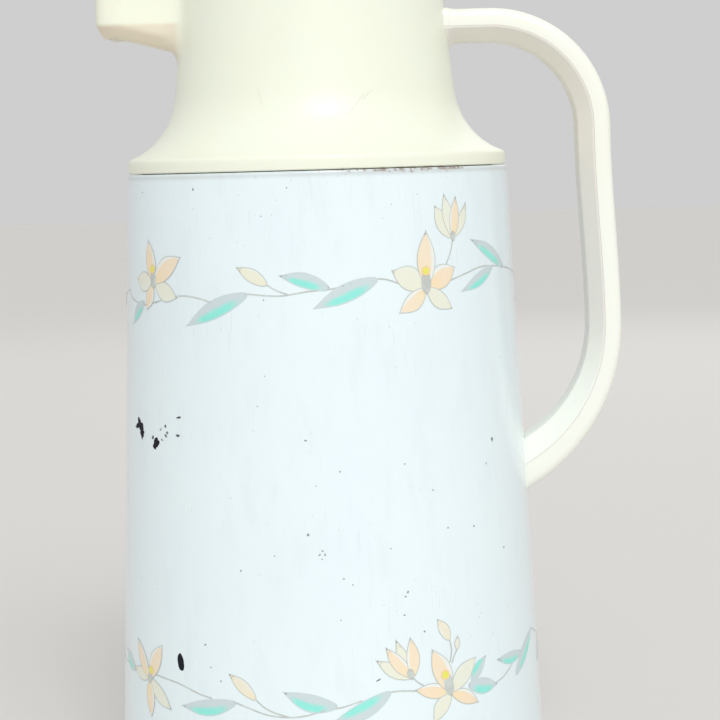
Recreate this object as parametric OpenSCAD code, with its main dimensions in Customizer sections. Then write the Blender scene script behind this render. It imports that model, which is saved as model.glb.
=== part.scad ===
// Pump pot: a vacuum jug with a steel sleeve, a plastic shoulder with a boxy
// spout, a side handle and a lid that holds a bellows pump.
// +Z is up, the spout points along -X and the handle along +X.
// The origin is on the pot's axis, in the plane the feet stand on.

/* [Body] */
// Height of the seam between the sleeve and the shoulder
seam_z = 252; // [246:1:258]
// Outer radius of the sleeve at the seam
sleeve_top_r = 73; // [72:0.5:75]
// Outer radius of the sleeve at its foot
sleeve_foot_r = 83.4; // [81:0.2:86]
// Sheet thickness of the sleeve
sleeve_t = 0.7; // [0.5:0.1:1.2]
// Width of the flange turned in at the top of the sleeve
sleeve_flange_w = 4.4; // [3.6:0.2:5]
// Height of the plastic ring below the sleeve
base_h = 10; // [9:0.5:12]
// Height of the rubber feet below the base ring
foot_h = 1.2; // [0.8:0.1:2]
// Radius of each rubber foot
foot_r = 4.6; // [3.5:0.1:4.8]

/* [Shoulder] */
// Wall thickness of the shoulder moulding
shoulder_t = 2.4; // [2:0.1:2.6]
// Height of the upright band just above the seam
rim_h = 5.8; // [4:0.2:8]
// How far that band sits back from the sleeve
rim_setback = 1; // [0.5:0.1:1.6]
// Radius of the hollow curve from the band up to the neck
flare_r = 29; // [26:0.5:34]
// Height above the seam at which the flare becomes the neck
flare_h = 28.5; // [26:0.5:31]
// How much wider the neck is where the flare ends than at its rim
neck_spread = 3.6; // [2:0.1:4.5]
// Outer radius of the neck at the rim
neck_top_r = 50.3; // [50:0.1:51.5]
// Height of the neck's rim above the seam
neck_h = 74; // [72:0.5:77]

/* [Spout] */
// Distance from the pot's axis to the front of the spout
spout_reach = 82.6; // [80:0.2:86]
// Width of the spout
spout_w = 28; // [25:0.5:32]
// Rounding of the spout's upright front edges
spout_corner_r = 8; // [5:0.5:10]
// Rounding of the spout's lower edges
spout_edge_r = 5.5; // [4:0.5:7]
// Depth of the spout's front, from its top to the flat below the outlet
spout_depth = 20.1; // [19:0.1:22]
// How far the spout's top lies below the rim of the neck
spout_drop = 2; // [1:0.2:3]
// Slope of the spout's underside, in degrees
spout_slope = 14.8; // [10:0.2:17]
// Thickness of the cover plate on the spout
spout_cap_t = 2; // [1.4:0.1:2.6]

/* [Handle] */
// Width of the handle across the hand
handle_w = 24; // [20:0.5:28]
// Thickness of the grip
handle_t = 12.6; // [11:0.2:14]
// Width of the handle's inner face, between its two bevels
handle_inner_w = 13; // [10:0.5:16]
// Height of the handle's top face above the seam
handle_top_h = 59.8; // [57:0.2:60.4]
// Outer radius of the arch at the top of the handle
arch_r = 46; // [42:0.5:50]
// Distance from the pot's axis to the outside of the arch
handle_reach = 112.8; // [109:0.2:117]
// How much further out the grip is at its lower end
handle_lean = 3; // [0:0.2:6]
// Height above the table at which the grip turns in to the body
grip_foot_z = 190; // [184:1:196]
// Outer radius of the handle's lower sweep
sweep_outer_r = 73.4; // [70:0.2:78]
// Inner radius of the handle's lower sweep
sweep_inner_r = 50.6; // [48:0.2:54]

/* [Bottle] */
// Outer radius of the glass bottle
bottle_r = 64; // [60:0.5:66]
// Wall of each of the bottle's two glass shells
glass_t = 1.6; // [1.2:0.1:2]
// Vacuum gap between the two shells
vacuum_gap = 3.2; // [2.4:0.1:4]
// Outer radius of the bottle's mouth
mouth_r = 33; // [32:0.2:34]
// Height of the bottle's foot above the table
bottle_foot_z = 26; // [24:0.5:30]
// Depth of the bottle's mouth below the rim of the neck
mouth_depth = 62; // [60:0.5:64]

/* [Lid and pump] */
// How far the lid shell stands out past the neck's rim
lid_overhang = 0.1; // [0:0.1:1]
// Height of the lid shell above the neck's rim
lid_h = 21; // [20:0.2:23]
// Rounding of the lid's top edge
lid_round_r = 8; // [6:0.5:9]
// Wall thickness of the lid shell
lid_t = 2.2; // [1.8:0.1:2.6]
// How much smaller the push button's radius is than the pump cup's
button_inset = 2.6; // [2.2:0.1:4]
// Height of the button above the lid shell
button_rise = 5; // [4:0.2:8]
// Travel of the push button
button_stroke = 22; // [18:0.5:24]
// Space between the neck's rim and the inside of the cup that holds the bellows
cup_space = 14.3; // [14:0.1:14.6]
// Depth of the cup's floor below the neck's rim
cup_depth = 20; // [19:0.2:21]
// Space between the bellows and the cup around it
bellows_space = 5.6; // [5.2:0.1:7]
// Number of folds in the bellows
bellows_folds = 8; // [6:1:9]
// Mean radius of the pump spring's coil
spring_r = 16; // [13:0.5:20]
// Wire diameter of the pump spring
spring_wire = 1.8; // [1.4:0.1:2.2]
// Number of turns in the pump spring
spring_turns = 7; // [5:1:8]
// Travel of the lid latch
latch_stroke = 3; // [2:0.2:3]

/* [Water way] */
// Outer radius of the dip tube and the outlet pipe
pipe_r = 3.5; // [3.2:0.1:3.6]
// Wall of the dip tube and the outlet pipe
pipe_t = 0.9; // [0.7:0.1:1.2]
// Distance of the dip tube from the pot's axis
dip_x = 19; // [17:0.5:20]
// Depth below the stopper's seat at which the outlet pipe passes the collar's throat
pipe_depth = 10.5; // [9.8:0.1:11.2]
// Outward tilt of the outlet nozzle away from upright, in degrees
nozzle_tilt = 25; // [20:1:28]

/* [Hinge] */
// Distance of the lid's hinge from the neck's outer face
hinge_out = 5.2; // [5:0.1:6.5]
// Radius of the hinge pin
pin_r = 1.5; // [1.2:0.1:1.8]
// Half of the space between the hinge's two ears
knuckle_half_w = 12; // [10:0.2:12]
// Thickness of each hinge ear
ear_t = 4; // [3:0.2:5]

/* [Fits] */
// Gap between fixed mouldings that lie against each other
seat_gap = 0.15; // [0.1:0.05:0.2]
// Radial gap of parts that turn or slide
slide_gap = 0.3; // [0.2:0.05:0.35]
// Radial gap of the hinge pin in the lid's knuckle
pin_gap = 0.06; // [0.03:0.01:0.1]
// Radius of the screws' threads
screw_r = 1.5; // [1.3:0.1:1.6]

/* [Hidden] */
$fn = 96;
eps = 0.01;

ivory = [0.95, 0.93, 0.84];
cream = [0.96, 0.94, 0.86];
enamel = [0.91, 0.93, 0.96];
inner_white = [0.93, 0.93, 0.91];
glass = [0.72, 0.76, 0.8, 0.6];
rubber = [0.86, 0.85, 0.8];
grey_rubber = [0.3, 0.3, 0.31];
steel = [0.7, 0.71, 0.73];

// ---- heights ----
rim_z = seam_z + neck_h;                 // rim of the neck
mouth_z = rim_z - mouth_depth;           // rim of the glass mouth
floor_z = rim_z - cup_depth;             // top face of the pump cup's floor
cup_r = neck_top_r - cup_space;
button_r = cup_r - button_inset;
bellows_r = cup_r - bellows_space;
cup_t = 2;                               // wall of the pump cup
floor_t = 2.8;                           // floor of the pump cup
lid_lift = 0.5;                          // gap between the rim and the lid shell
lid_z = rim_z + lid_lift;                // lower edge of the lid shell
lid_top = rim_z + lid_h;                 // top face of the lid shell
button_top = lid_top + button_rise;

// ---- sleeve and shoulder ----
sleeve_slope = (sleeve_foot_r - sleeve_top_r) / (seam_z - base_h);
function sleeve_r(z) = sleeve_top_r + (seam_z - z) * sleeve_slope;
spigot_h = 12;
rim_r = sleeve_top_r - rim_setback;
neck_root_r = neck_top_r + neck_spread;
spigot_out_r = rim_r - sleeve_flange_w - seat_gap;
spigot_in_r = spigot_out_r - shoulder_t;
neck_bend_h = (flare_h + neck_h) * 0.4;  // height at which the neck's taper eases
neck_bend_r = neck_root_r - (neck_root_r - neck_top_r) * 0.42;

// centre of an arc of radius r through a and b, on the right of the way a to b
function arc_centre(a, b, r) =
    let (m = (a + b) / 2, d = b - a, l = norm(d), h = sqrt(r * r - l * l / 4))
    m + h * [d[1], -d[0]] / l;
function arc_points(c, r, a0, a1, n) =
    [for (i = [0 : n]) c + r * [cos(a0 + (a1 - a0) * i / n), sin(a0 + (a1 - a0) * i / n)]];
function angle_of(v) = let (a = atan2(v[1], v[0])) a < 0 ? a + 360 : a;

flare_foot = [rim_r, rim_h];
flare_head = [neck_root_r, flare_h];
flare_c = arc_centre(flare_foot, flare_head, flare_r);
flare_a0 = angle_of(flare_foot - flare_c);
flare_a1 = angle_of(flare_head - flare_c);
flare_in_r = flare_r + shoulder_t;
flare_in_a = 360 - acos((spigot_in_r - flare_c[0]) / flare_in_r);

// outer radius of the neck at a height above the seam
function neck_r(h) = h < neck_bend_h
    ? neck_root_r + (neck_bend_r - neck_root_r) * (h - flare_h) / (neck_bend_h - flare_h)
    : neck_bend_r + (neck_top_r - neck_bend_r) * (h - neck_bend_h) / (neck_h - neck_bend_h);

// ---- bottle and base ----
bottle_dome = 34;                        // radius of the bottle's domed shoulder
bottle_foot_round = 28;
bottle_neck_h = 14;
neck_gap = 1.8;                          // vacuum gap where it narrows in the mouth
bottle_in = 2 * glass_t + vacuum_gap;    // from the outer face to the inside
mouth_in_r = mouth_r - 2 * glass_t - neck_gap;
gasket_top_t = 2;                        // the mouth's gasket above the glass
gasket_skirt = 5;                        // and around it
gasket_wall = 1.6;
cushion_h = 4;
cushion_w = 16;
cap_inset = 13.9;                        // from the sleeve's foot in to the bottom cap's wall
cap_lift = 2;
cap_z = foot_h + cap_lift;               // underside of the screwed bottom cap
cap_r = sleeve_foot_r - cap_inset;
cap_flange_w = 2.5;
cap_flange_r = cap_r + cap_flange_w;
cap_flange_t = 2.5;
cap_wall = 2.5;
cap_floor_t = 3;
cap_gap = 0.4;                           // play of the cap in the base ring
tower_r = 36;                            // ring on the bottom cap that carries the bottle
tower_wall = 2;
tower_lip = 1.5;
tower_shelf_w = 20;
tower_shelf_t = 2.2;
base_spigot_h = 8;                       // the base ring's spigot inside the sleeve
base_wall = 2;
base_out = 0.8;                          // the base ring stands out past the sleeve
base_floor_t = 3.2;
foot_inset = 1.3;                        // depth of each foot in the base ring

// ---- collar inside the neck ----
ledge_depth = 6.6;
ledge_top = rim_z - ledge_depth;         // ring inside the neck that the collar hangs under
ledge_t = 2.2;
collar_space = 1.9;                      // between the neck's wall and the collar's
collar_r = neck_top_r - shoulder_t - collar_space;
collar_t = 1.5;
collar_in_r = collar_r - collar_t;
collar_drop = 0.6;                       // the collar's rim below the neck's
throat_step = 0.5;
throat_r = mouth_in_r - throat_step;
throat_t = 3;
seat_depth = 28;
seat_z = rim_z - seat_depth;             // face that the stopper's gasket closes on
seat_rise = 0.3;
gasket_h = 2.6;
gasket_in_r = throat_r - 0.8;
gasket_out_r = throat_r + throat_t + 1;

// ---- spout ----
spout_top = rim_z - spout_drop;
spout_flat_z = spout_top - spout_depth;
spout_bevel_w = 1.9;
spout_bevel_h = 2.7;
spout_flat_w = 6.6;
spout_flat_x0 = spout_reach - spout_bevel_w;
spout_flat_x1 = spout_flat_x0 - spout_flat_w;
spout_wall = 2.4;
function spout_under(x) = spout_flat_z - (spout_flat_x1 - x) * tan(spout_slope);

// ---- outlet pipe: up the dip tube, over a slanted run and down to the nozzle ----
nozzle_set = 0.9;                        // the nozzle's mouth in from the flat's middle
nozzle_x = (spout_flat_x0 + spout_flat_x1) / 2 - nozzle_set;
nozzle_lip = 0.8;
nozzle_t = 0.5;                          // socket wall around the pipe
nozzle_r = pipe_r + nozzle_t;
nozzle_len = 5.8;
nozzle_stop = 4;                         // length of the nozzle below its socket
pipe_stop = 5.2;                         // where the pipe's bend begins above the mouth
elbow_r = 12;
bend_r = 8;
drop_a = 180 - nozzle_tilt;
nozzle_mouth = [-nozzle_x, spout_flat_z - nozzle_lip];
nozzle_up = [sin(nozzle_tilt), cos(nozzle_tilt)];
bend_end = nozzle_mouth + pipe_stop * nozzle_up;
bend_c = bend_end - bend_r * [cos(drop_a), sin(drop_a)];
// the run leaves the bend on the tangent through this point in the throat's wall
pass = [-throat_r - throat_t / 2, seat_z - pipe_depth] - bend_c;
run_a = atan2(pass[1], pass[0]) + acos(bend_r / norm(pass));
run_end = bend_c + bend_r * [cos(run_a), sin(run_a)];
run_start_x = -dip_x - elbow_r * (1 - cos(run_a));
run_len = (run_start_x - run_end[0]) / sin(run_a);
run_start = run_end + run_len * [sin(run_a), -cos(run_a)];
elbow_c = run_start - elbow_r * [cos(run_a), sin(run_a)];
socket_len = 8;
socket_t = 1.1;
press_gap = 0.05;                        // radial gap of pushed-on parts
grommet_over = 2.5;                      // the grommet beyond each side of the throat's wall
grommet_t = 1.1;
grommet_r = pipe_r + grommet_t;
pipe_play = 0.6;                         // radial gap of the pipe in the neck's wall

// ---- handle ----
arch_c = [handle_reach - arch_r, seam_z + handle_top_h - arch_r];
sweep_x = handle_reach + handle_lean;
sweep_out_c = [sweep_x - sweep_outer_r, grip_foot_z];
sweep_in_c = [sweep_x - handle_t - sweep_inner_r, grip_foot_z];
root_in = 7;                             // how far the sweep runs on inside the sleeve
root_x = sleeve_r(grip_foot_z - sweep_inner_r);
sweep_a = acos((root_x - root_in - sweep_out_c[0]) / sweep_outer_r);
function sweep_z(c, r) = c[1] - sqrt(r * r - pow(root_x - c[0], 2));
root_out_z = sweep_z(sweep_out_c, sweep_outer_r);
root_in_z = sweep_z(sweep_in_c, sweep_inner_r);
split = 0.54;                            // share of the thickness in the outer shell
split_gap = 0.12;                        // parting line between the two shells
edge_round = 3.4;                        // rounding of the outer shell's two edges
crown = 0.5;                             // the outer face's rise towards its middle
screw_gap = 0.05;
screw_clear = 0.3;
screw_head_r = 2.8;
screw_head_t = 1.4;
screw_y = handle_w / 4;
top_screw_drop = 3.2;
top_screw_z = seam_z + handle_top_h - top_screw_drop;
top_screw_len = 13;
low_screw_z = root_out_z + (root_in_z - root_out_z) * split * 0.75;
low_screw_len = 9;
bracket_t = 1.5;
bracket_h = 16;

// ---- hinge and latch ----
lid_r = neck_top_r + lid_overhang;
hinge_x = neck_top_r + hinge_out;
hinge_lift = 2.5;
hinge_z = rim_z + hinge_lift;
knuckle_r = 4.2;
ear_r = 4.4;
ear_drop = 14;                           // the ears' root below the hinge
pin_over = 0.5;                          // the pin beyond the ears
pin_press = 0.02;
latch_w = 17;
latch_leg_w = 10;
latch_lift = 5;
latch_z = lid_z + latch_lift;
latch_h = 9;
latch_out = 1.6;                         // the thumb piece stands out past the lid
latch_depth = 3.2;
cover_in_r = lid_r - lid_t;
cup_out_r = cup_r + cup_t;
latch_leg_x = cup_out_r + latch_stroke + 0.4;
latch_leg_t = 1.6;
hook_gap = 0.6;
hook_reach = collar_in_r - hook_gap;
hook_depth = 5.4;
hook_z = rim_z - hook_depth;
hook_t = 2;
bridge_t = 4;
flange_lift = 1.6;
flange_z = lid_z + flange_lift;          // underside of the pump housing's flange
flange_t = 2.2;
lid_screw_r0 = (cup_out_r + cover_in_r) / 2;
LID_SCREW_ANGLES = [60, 120, 240, 300];

// ---- button and ring ----
button_t = 2.5;
button_wall = 2;
button_edge_r = 2;
button_land = 7;                         // flat border around the button's dish
button_dish = 0.6;
button_flange_r = cup_r - 0.6;
button_flange_drop = 6;
button_flange_z = lid_top - button_flange_drop;
button_flange_t = 2;
ring_in_r = button_r + 1;
ring_skirt_t = 1.7;
ring_skirt_r = ring_in_r + ring_skirt_t;
ring_w = 6.6;
ring_r = ring_in_r + ring_w;
ring_t = 2.2;
ring_lift = 0.2;
ring_lip = 1.1;
tab_w = 11;                              // the ring's thumb piece
tab_out = 2.6;
tab_rise = 1.4;
bellows_t = 1.1;
stem_r = 1.4;                            // stems of the two valves
stem_gap = 0.1;
valve_r = 8;                             // disc of the umbrella valve
valve_hole_ring = 5;
valve_hole_r = 1.3;
bellows_fold = 5.4;
lid_screw_len = 11;
lid_boss_r = 3;
screw_sink = 1.2;                        // depth of the lid screws' heads in the flange

// ================= shared shapes =================

// ring of rectangular section
module ring(r_out, r_in, z0, z1) {
    translate([0, 0, z0]) difference() {
        cylinder(r = r_out, h = z1 - z0);
        translate([0, 0, -1]) cylinder(r = r_in, h = z1 - z0 + 2);
    }
}

// tube whose axis starts at p = [x, z] and runs at angle a from upright towards -X
module slanted(p, a, h, r_out, r_in = 0) {
    translate([p[0], 0, p[1]]) rotate([0, -a, 0]) difference() {
        cylinder(r = r_out, h = h);
        if (r_in > 0) translate([0, 0, -1]) cylinder(r = r_in, h = h + 2);
    }
}

// screw along +X: head at x, shank of length len
module screw_x(x, y, z, len) {
    translate([x, y, z]) rotate([0, 90, 0]) {
        translate([0, 0, -screw_head_t]) difference() {
            cylinder(r = screw_head_r, h = screw_head_t, $fn = 32);
            for (a = [0, 90]) rotate([0, 0, a])
                translate([-1.6, -0.3, -eps]) cube([3.2, 0.6, 0.7]);
        }
        cylinder(r = screw_r, h = len, $fn = 32);
    }
}

// skin of quads over equal rings of points, closed at both ends
module loft(rings) {
    n = len(rings[0]);
    m = len(rings);
    polyhedron(
        points = [for (r = rings) each r],
        faces = concat(
            [[for (i = [0 : n - 1]) i]],
            [for (k = [0 : m - 2], i = [0 : n - 1])
                let (j = (i + 1) % n) [k * n + i, (k + 1) * n + i, (k + 1) * n + j, k * n + j]],
            [[for (i = [n - 1 : -1 : 0]) (m - 1) * n + i]]
        ),
        convexity = 6
    );
}

// ================= body =================

// outer form of the sleeve, grown by g
module sleeve_form(g = 0) {
    translate([0, 0, base_h]) cylinder(
        r1 = sleeve_r(base_h) + g, r2 = sleeve_r(seam_z) + g, h = seam_z - base_h);
}

module body_sleeve() {
    lip_r = 0.5;
    color(enamel) difference() {
        rotate_extrude() polygon(concat(
            [[sleeve_r(base_h) - sleeve_t, base_h], [sleeve_r(base_h), base_h]],
            arc_points([sleeve_r(seam_z) - lip_r, seam_z - lip_r], lip_r, 0, 90, 4),
            [[rim_r - sleeve_flange_w, seam_z], [rim_r - sleeve_flange_w, seam_z - sleeve_t],
             [sleeve_r(seam_z) - sleeve_t, seam_z - sleeve_t]]
        ));
        for (s = [-1, 1]) translate([bottle_r, s * screw_y, low_screw_z])
            rotate([0, 90, 0]) cylinder(r = screw_r + screw_clear, h = bottle_r, $fn = 32);
    }
}

// profile of the shoulder's wall, with the ring that holds the collar
module shoulder_profile() {
    inner_flare = arc_points(flare_c, flare_in_r, flare_a1, flare_in_a, 14);
    translate([0, seam_z]) polygon(concat(
        [[spigot_out_r, -spigot_h], [spigot_out_r, seat_gap], [rim_r, seat_gap]],
        arc_points(flare_c, flare_r, flare_a0, flare_a1, 18),
        [[neck_bend_r, neck_bend_h], [neck_top_r, neck_h - 0.8], [neck_top_r - 0.8, neck_h],
         [neck_top_r - shoulder_t, neck_h],
         [neck_top_r - shoulder_t, ledge_top - seam_z],
         [collar_r + seat_gap, ledge_top - seam_z],
         [collar_r + seat_gap, ledge_top - ledge_t - seam_z],
         [neck_r(ledge_top - seam_z - ledge_t) - shoulder_t, ledge_top - ledge_t - seam_z],
         [neck_bend_r - shoulder_t, neck_bend_h]],
        inner_flare,
        [[spigot_in_r, -spigot_h]]
    ));
}

// outline of the spout from the side, with its walls brought in by g
module spout_side(g, top) {
    // the underside meets the front flat, then a small bevel leads to the face
    pts = [
        [-neck_top_r + 12, spout_under(neck_top_r - 12) + g / cos(spout_slope)],
        [-spout_flat_x1, spout_flat_z + g],
        [-spout_flat_x0 + g * 0.4, spout_flat_z + g],
        [-spout_reach + g, spout_flat_z + spout_bevel_h + g * 0.4],
        [-spout_reach + g, top],
        [-neck_top_r + 12, top]
    ];
    rotate([90, 0, 0]) linear_extrude(height = spout_w + 4, center = true) polygon(pts);
}

// outline of the spout from above
module spout_plan(g, z0, z1) {
    hw = spout_w / 2 - g;
    r = max(spout_corner_r - g, 1);
    cx = spout_reach - g - r;
    translate([0, 0, z0]) linear_extrude(height = z1 - z0) polygon(concat(
        arc_points([-cx, hw - r], r, 90, 180, 10),
        arc_points([-cx, r - hw], r, 180, 270, 10),
        [[-neck_top_r + 12, -hw], [-neck_top_r + 12, hw]]
    ));
}

// rounding of the spout's two lower edges, along its sloping underside
module spout_edges(g) {
    hw = spout_w / 2 - g;
    r = max(spout_edge_r - g, 1);
    translate([-spout_flat_x1, 0, spout_flat_z + g]) rotate([0, spout_slope, 0])
        rotate([90, 0, 90]) linear_extrude(height = 2 * spout_reach, center = true)
            polygon(concat(
            arc_points([r - hw, r], r, 180, 270, 8),
            arc_points([hw - r, r], r, 270, 360, 8),
            [[hw, spout_reach], [-hw, spout_reach]]
        ));
}

// round core that the spout is cut away from
module neck_core(r) {
    translate([0, 0, seam_z]) cylinder(r = r, h = neck_h + spout_depth);
}

module spout_form(g, top) {
    intersection() {
        spout_side(g, top);
        spout_plan(g, spout_flat_z - 20, top);
        spout_edges(g);
    }
}

// hollow curve under the spout's root, following the round neck
module spout_fillet() {
    r = 4.5;
    z = spout_under(neck_r(spout_flat_z - seam_z) + r);
    x = neck_r(z - seam_z - r);
    intersection() {
        rotate_extrude() polygon(concat(
            [[x - 1, z + 1.4], [x - 1, z - r]],
            arc_points([x + r, z - r + 0.2], r, 180, 90 - spout_slope, 8),
            [[x + r + 1, z + 1.4]]
        ));
        spout_plan(spout_edge_r * 0.5, z - 20, z + 20);
    }
}

// bore for the outlet pipe, along its slanted run
module pipe_way(r) {
    slanted(run_start, run_a, run_len, r);
}

module shoulder() {
    ear_out_y = knuckle_half_w + ear_t;
    color(ivory) difference() {
        union() {
            rotate_extrude() shoulder_profile();
            difference() {
                union() {
                    spout_form(0, spout_top);
                    spout_fillet();
                }
                neck_core(neck_top_r - shoulder_t + 1);
            }
            for (s = [-1, 1]) hinge_ear(s > 0 ? knuckle_half_w : -ear_out_y);
        }
        // hollow of the spout, and the step its cover plate lies on
        difference() {
            spout_form(spout_wall, spout_top + 1);
            neck_core(neck_root_r);
        }
        difference() {
            spout_plan(spout_wall / 2, spout_top - spout_cap_t, spout_top + 1);
            neck_core(neck_root_r - 1);
        }
        pipe_way(pipe_r + pipe_play);
        slanted(nozzle_mouth - nozzle_len * nozzle_up, -nozzle_tilt, 3 * nozzle_len,
            nozzle_r + seat_gap);
        for (s = [-1, 1]) translate([collar_r, s * screw_y, top_screw_z]) rotate([0, 90, 0])
            cylinder(r = screw_r + screw_clear, h = neck_top_r, $fn = 32);
        translate([hinge_x, 0, hinge_z]) rotate([90, 0, 0])
            cylinder(r = pin_r + pin_press, h = 2 * neck_top_r, center = true, $fn = 48);
    }
}

// one hinge ear, standing on the back of the neck and reaching to the pin
module hinge_ear(y0) {
    root_r = neck_top_r - shoulder_t + 0.4;
    foot = hinge_z - ear_drop;
    difference() {
        translate([0, y0 + ear_t, 0]) rotate([90, 0, 0]) linear_extrude(height = ear_t) union() {
            translate([hinge_x, hinge_z]) circle(r = ear_r, $fn = 48);
            polygon([
                [neck_top_r - 4.5, foot], [neck_top_r + 1.2, foot],
                [hinge_x + ear_r, hinge_z - 3], [hinge_x + ear_r, hinge_z],
                [hinge_x - ear_r + 0.4, hinge_z], [hinge_x - ear_r + 0.4, rim_z - 0.6],
                [neck_top_r - 4.5, rim_z - 0.6]
            ]);
        }
        translate([0, 0, foot - 1]) cylinder(r = root_r, h = 30);
    }
}

module spout_cap() {
    inset = spout_wall / 2 + seat_gap;
    color(ivory) difference() {
        spout_plan(inset, spout_top - spout_cap_t + seat_gap, spout_top);
        neck_core(neck_root_r - 1 + seat_gap);
    }
}

// ================= water way =================

module outlet_nozzle() {
    color(inner_white) difference() {
        slanted(nozzle_mouth, -nozzle_tilt, nozzle_len, nozzle_r, pipe_r - pipe_t);
        // socket for the end of the pipe
        slanted(nozzle_mouth + nozzle_stop * nozzle_up, -nozzle_tilt, nozzle_len,
            pipe_r + press_gap);
        // the mouth is cut level
        translate([-nozzle_x - 3 * nozzle_r, -2 * nozzle_r, nozzle_mouth[1] - 2 * nozzle_r])
            cube([6 * nozzle_r, 4 * nozzle_r, 2 * nozzle_r]);
    }
}

// [point, heading] along the pipe: elbow over the dip tube, slanted run, bend to the nozzle
function pipe_path(lead, tail) = concat(
    [[[-dip_x, elbow_c[1] - lead], 0]],
    [for (i = [0 : 7]) let (a = run_a * i / 7) [elbow_c + elbow_r * [cos(a), sin(a)], a]],
    [for (i = [0 : 9]) let (a = run_a + (drop_a - run_a) * i / 9)
        [bend_c + bend_r * [cos(a), sin(a)], a]],
    [[bend_end - tail * nozzle_up, drop_a]]
);

module pipe_sweep(r, lead, tail) {
    sides = 16;
    loft([for (st = pipe_path(lead, tail))
        [for (j = [0 : sides - 1]) let (b = 360 * j / sides)
            [st[0][0] + r * cos(b) * cos(st[1]), r * sin(b), st[0][1] + r * cos(b) * sin(st[1])]]]);
}

module outlet_pipe() {
    color(inner_white) difference() {
        union() {
            pipe_sweep(pipe_r, 2, pipe_stop - nozzle_stop - 0.1);
            translate([-dip_x, 0, elbow_c[1] - socket_len])
                cylinder(r = pipe_r + socket_t, h = socket_len);
        }
        pipe_sweep(pipe_r - pipe_t, 2.5, 2);
        // socket over the end of the dip tube
        translate([-dip_x, 0, elbow_c[1] - socket_len - 1])
            cylinder(r = pipe_r + press_gap, h = socket_len);
    }
}

module pipe_grommet() {
    start = -run_start_x - throat_r + grommet_over;
    color(rubber) slanted(run_start - start / sin(run_a) * [-sin(run_a), cos(run_a)], run_a,
        (throat_t + 2 * grommet_over) / sin(run_a), grommet_r, pipe_r + press_gap);
}

module dip_tube() {
    foot = bottle_foot_z + bottle_in + pipe_r + 1.5;
    color(steel) translate([-dip_x, 0, 0])
        ring(pipe_r, pipe_r - pipe_t, foot, elbow_c[1] - 1.2);
}

// solid of revolution with a rounded foot, a domed shoulder and a neck up to z1:
// the bottle's outer form brought in by g on every side
module flask(g, z1) {
    r = bottle_r - g;
    foot = bottle_foot_round - g;
    dome = bottle_dome - g;
    dome_z = mouth_z - bottle_neck_h - bottle_dome;
    neck = mouth_r - g + (g > glass_t ? vacuum_gap - neck_gap : 0);
    rotate_extrude() union() {
        polygon(concat(
            [[0, bottle_foot_z + g]],
            arc_points([r - foot, bottle_foot_z + g + foot], foot, 270, 360, 12),
            arc_points([r - dome, dome_z], dome, 0, 78, 14),
            [[neck, dome_z + dome + 4], [0, dome_z + dome + 4]]
        ));
        translate([0, dome_z]) square([neck, z1 - dome_z]);
    }
}

module vacuum_bottle() {
    color(glass) difference() {
        flask(0, mouth_z);
        // sealed vacuum between the two shells
        difference() {
            flask(glass_t, mouth_z - glass_t);
            flask(glass_t + vacuum_gap, mouth_z);
        }
        flask(bottle_in, mouth_z + 1);
    }
}

module mouth_gasket() {
    r0 = mouth_in_r + 0.4;
    r1 = mouth_r + seat_gap;
    color(rubber) rotate_extrude() polygon([
        [r0, mouth_z + seat_gap], [r0, mouth_z + gasket_top_t],
        [r1 + gasket_wall, mouth_z + gasket_top_t], [r1 + gasket_wall, mouth_z - gasket_skirt],
        [r1, mouth_z - gasket_skirt], [r1, mouth_z + seat_gap]
    ]);
}

module mouth_collar() {
    foot_z = mouth_z + gasket_top_t + seat_gap;
    foot_out_r = mouth_r + 3;
    flange_top = ledge_top - ledge_t - seat_gap;
    flange_r = neck_top_r - shoulder_t - slide_gap;
    flange_h = 2.2;
    throat_out_r = throat_r + throat_t;
    dish_h = 7;                          // rise of the dish around the seat
    slope_z = seat_z + dish_h;
    pocket = 0.9;                        // depth of the pocket for the latch's hook
    color(inner_white) difference() {
        rotate_extrude() polygon([
            [throat_r, foot_z], [throat_r, seat_z], [throat_out_r + 2, seat_z + seat_rise],
            [collar_in_r - 2.5, slope_z], [collar_in_r, slope_z + dish_h],
            [collar_in_r, rim_z - collar_drop], [collar_r, rim_z - collar_drop],
            [collar_r, flange_top], [flange_r, flange_top], [flange_r, flange_top - flange_h],
            [collar_r, flange_top - flange_h - collar_t],
            [collar_r, slope_z + dish_h - throat_t], [collar_r - collar_space, slope_z - 1],
            [throat_out_r + 2.8, seat_z - 1.8], [throat_out_r, seat_z - 4],
            [throat_out_r, foot_z + 2 * throat_t], [foot_out_r, foot_z + throat_t],
            [foot_out_r, foot_z]
        ]);
        pipe_way(grommet_r + press_gap);
        translate([-collar_in_r - pocket, -latch_leg_w / 2 - 0.5, hook_z - hook_gap])
            cube([pocket + 3, latch_leg_w + 1, hook_t + 2 * hook_gap + 0.2]);
    }
}

// ================= base =================

foot_ring_r = (sleeve_foot_r + cap_flange_r) / 2;

module at_feet() {
    for (a = [45 : 90 : 315]) rotate([0, 0, a]) translate([foot_ring_r, 0, 0]) children();
}

module base_ring() {
    outer = sleeve_foot_r + base_out;
    spigot_top = base_h + base_spigot_h;
    spigot = sleeve_r(spigot_top) - sleeve_t - seat_gap;
    inner = cap_flange_r + cap_gap;
    thread_r = cap_r + slide_gap;
    shelf = foot_h + base_floor_t;
    chamfer = 1;
    color(ivory) difference() {
        rotate_extrude() polygon([
            [inner, foot_h], [outer - chamfer, foot_h], [outer, foot_h + chamfer],
            [outer, base_h - seat_gap], [spigot, base_h - seat_gap], [spigot, spigot_top],
            [spigot - base_wall, spigot_top], [spigot - base_wall, shelf],
            [inner + chamfer, shelf], [inner + chamfer, base_h + chamfer],
            [thread_r, base_h + chamfer], [thread_r, cap_z + cap_flange_t + seat_gap],
            [inner, cap_z + cap_flange_t + seat_gap]
        ]);
        at_feet() cylinder(r = foot_r + stem_gap, h = foot_h + foot_inset + stem_gap, $fn = 48);
    }
}

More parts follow.
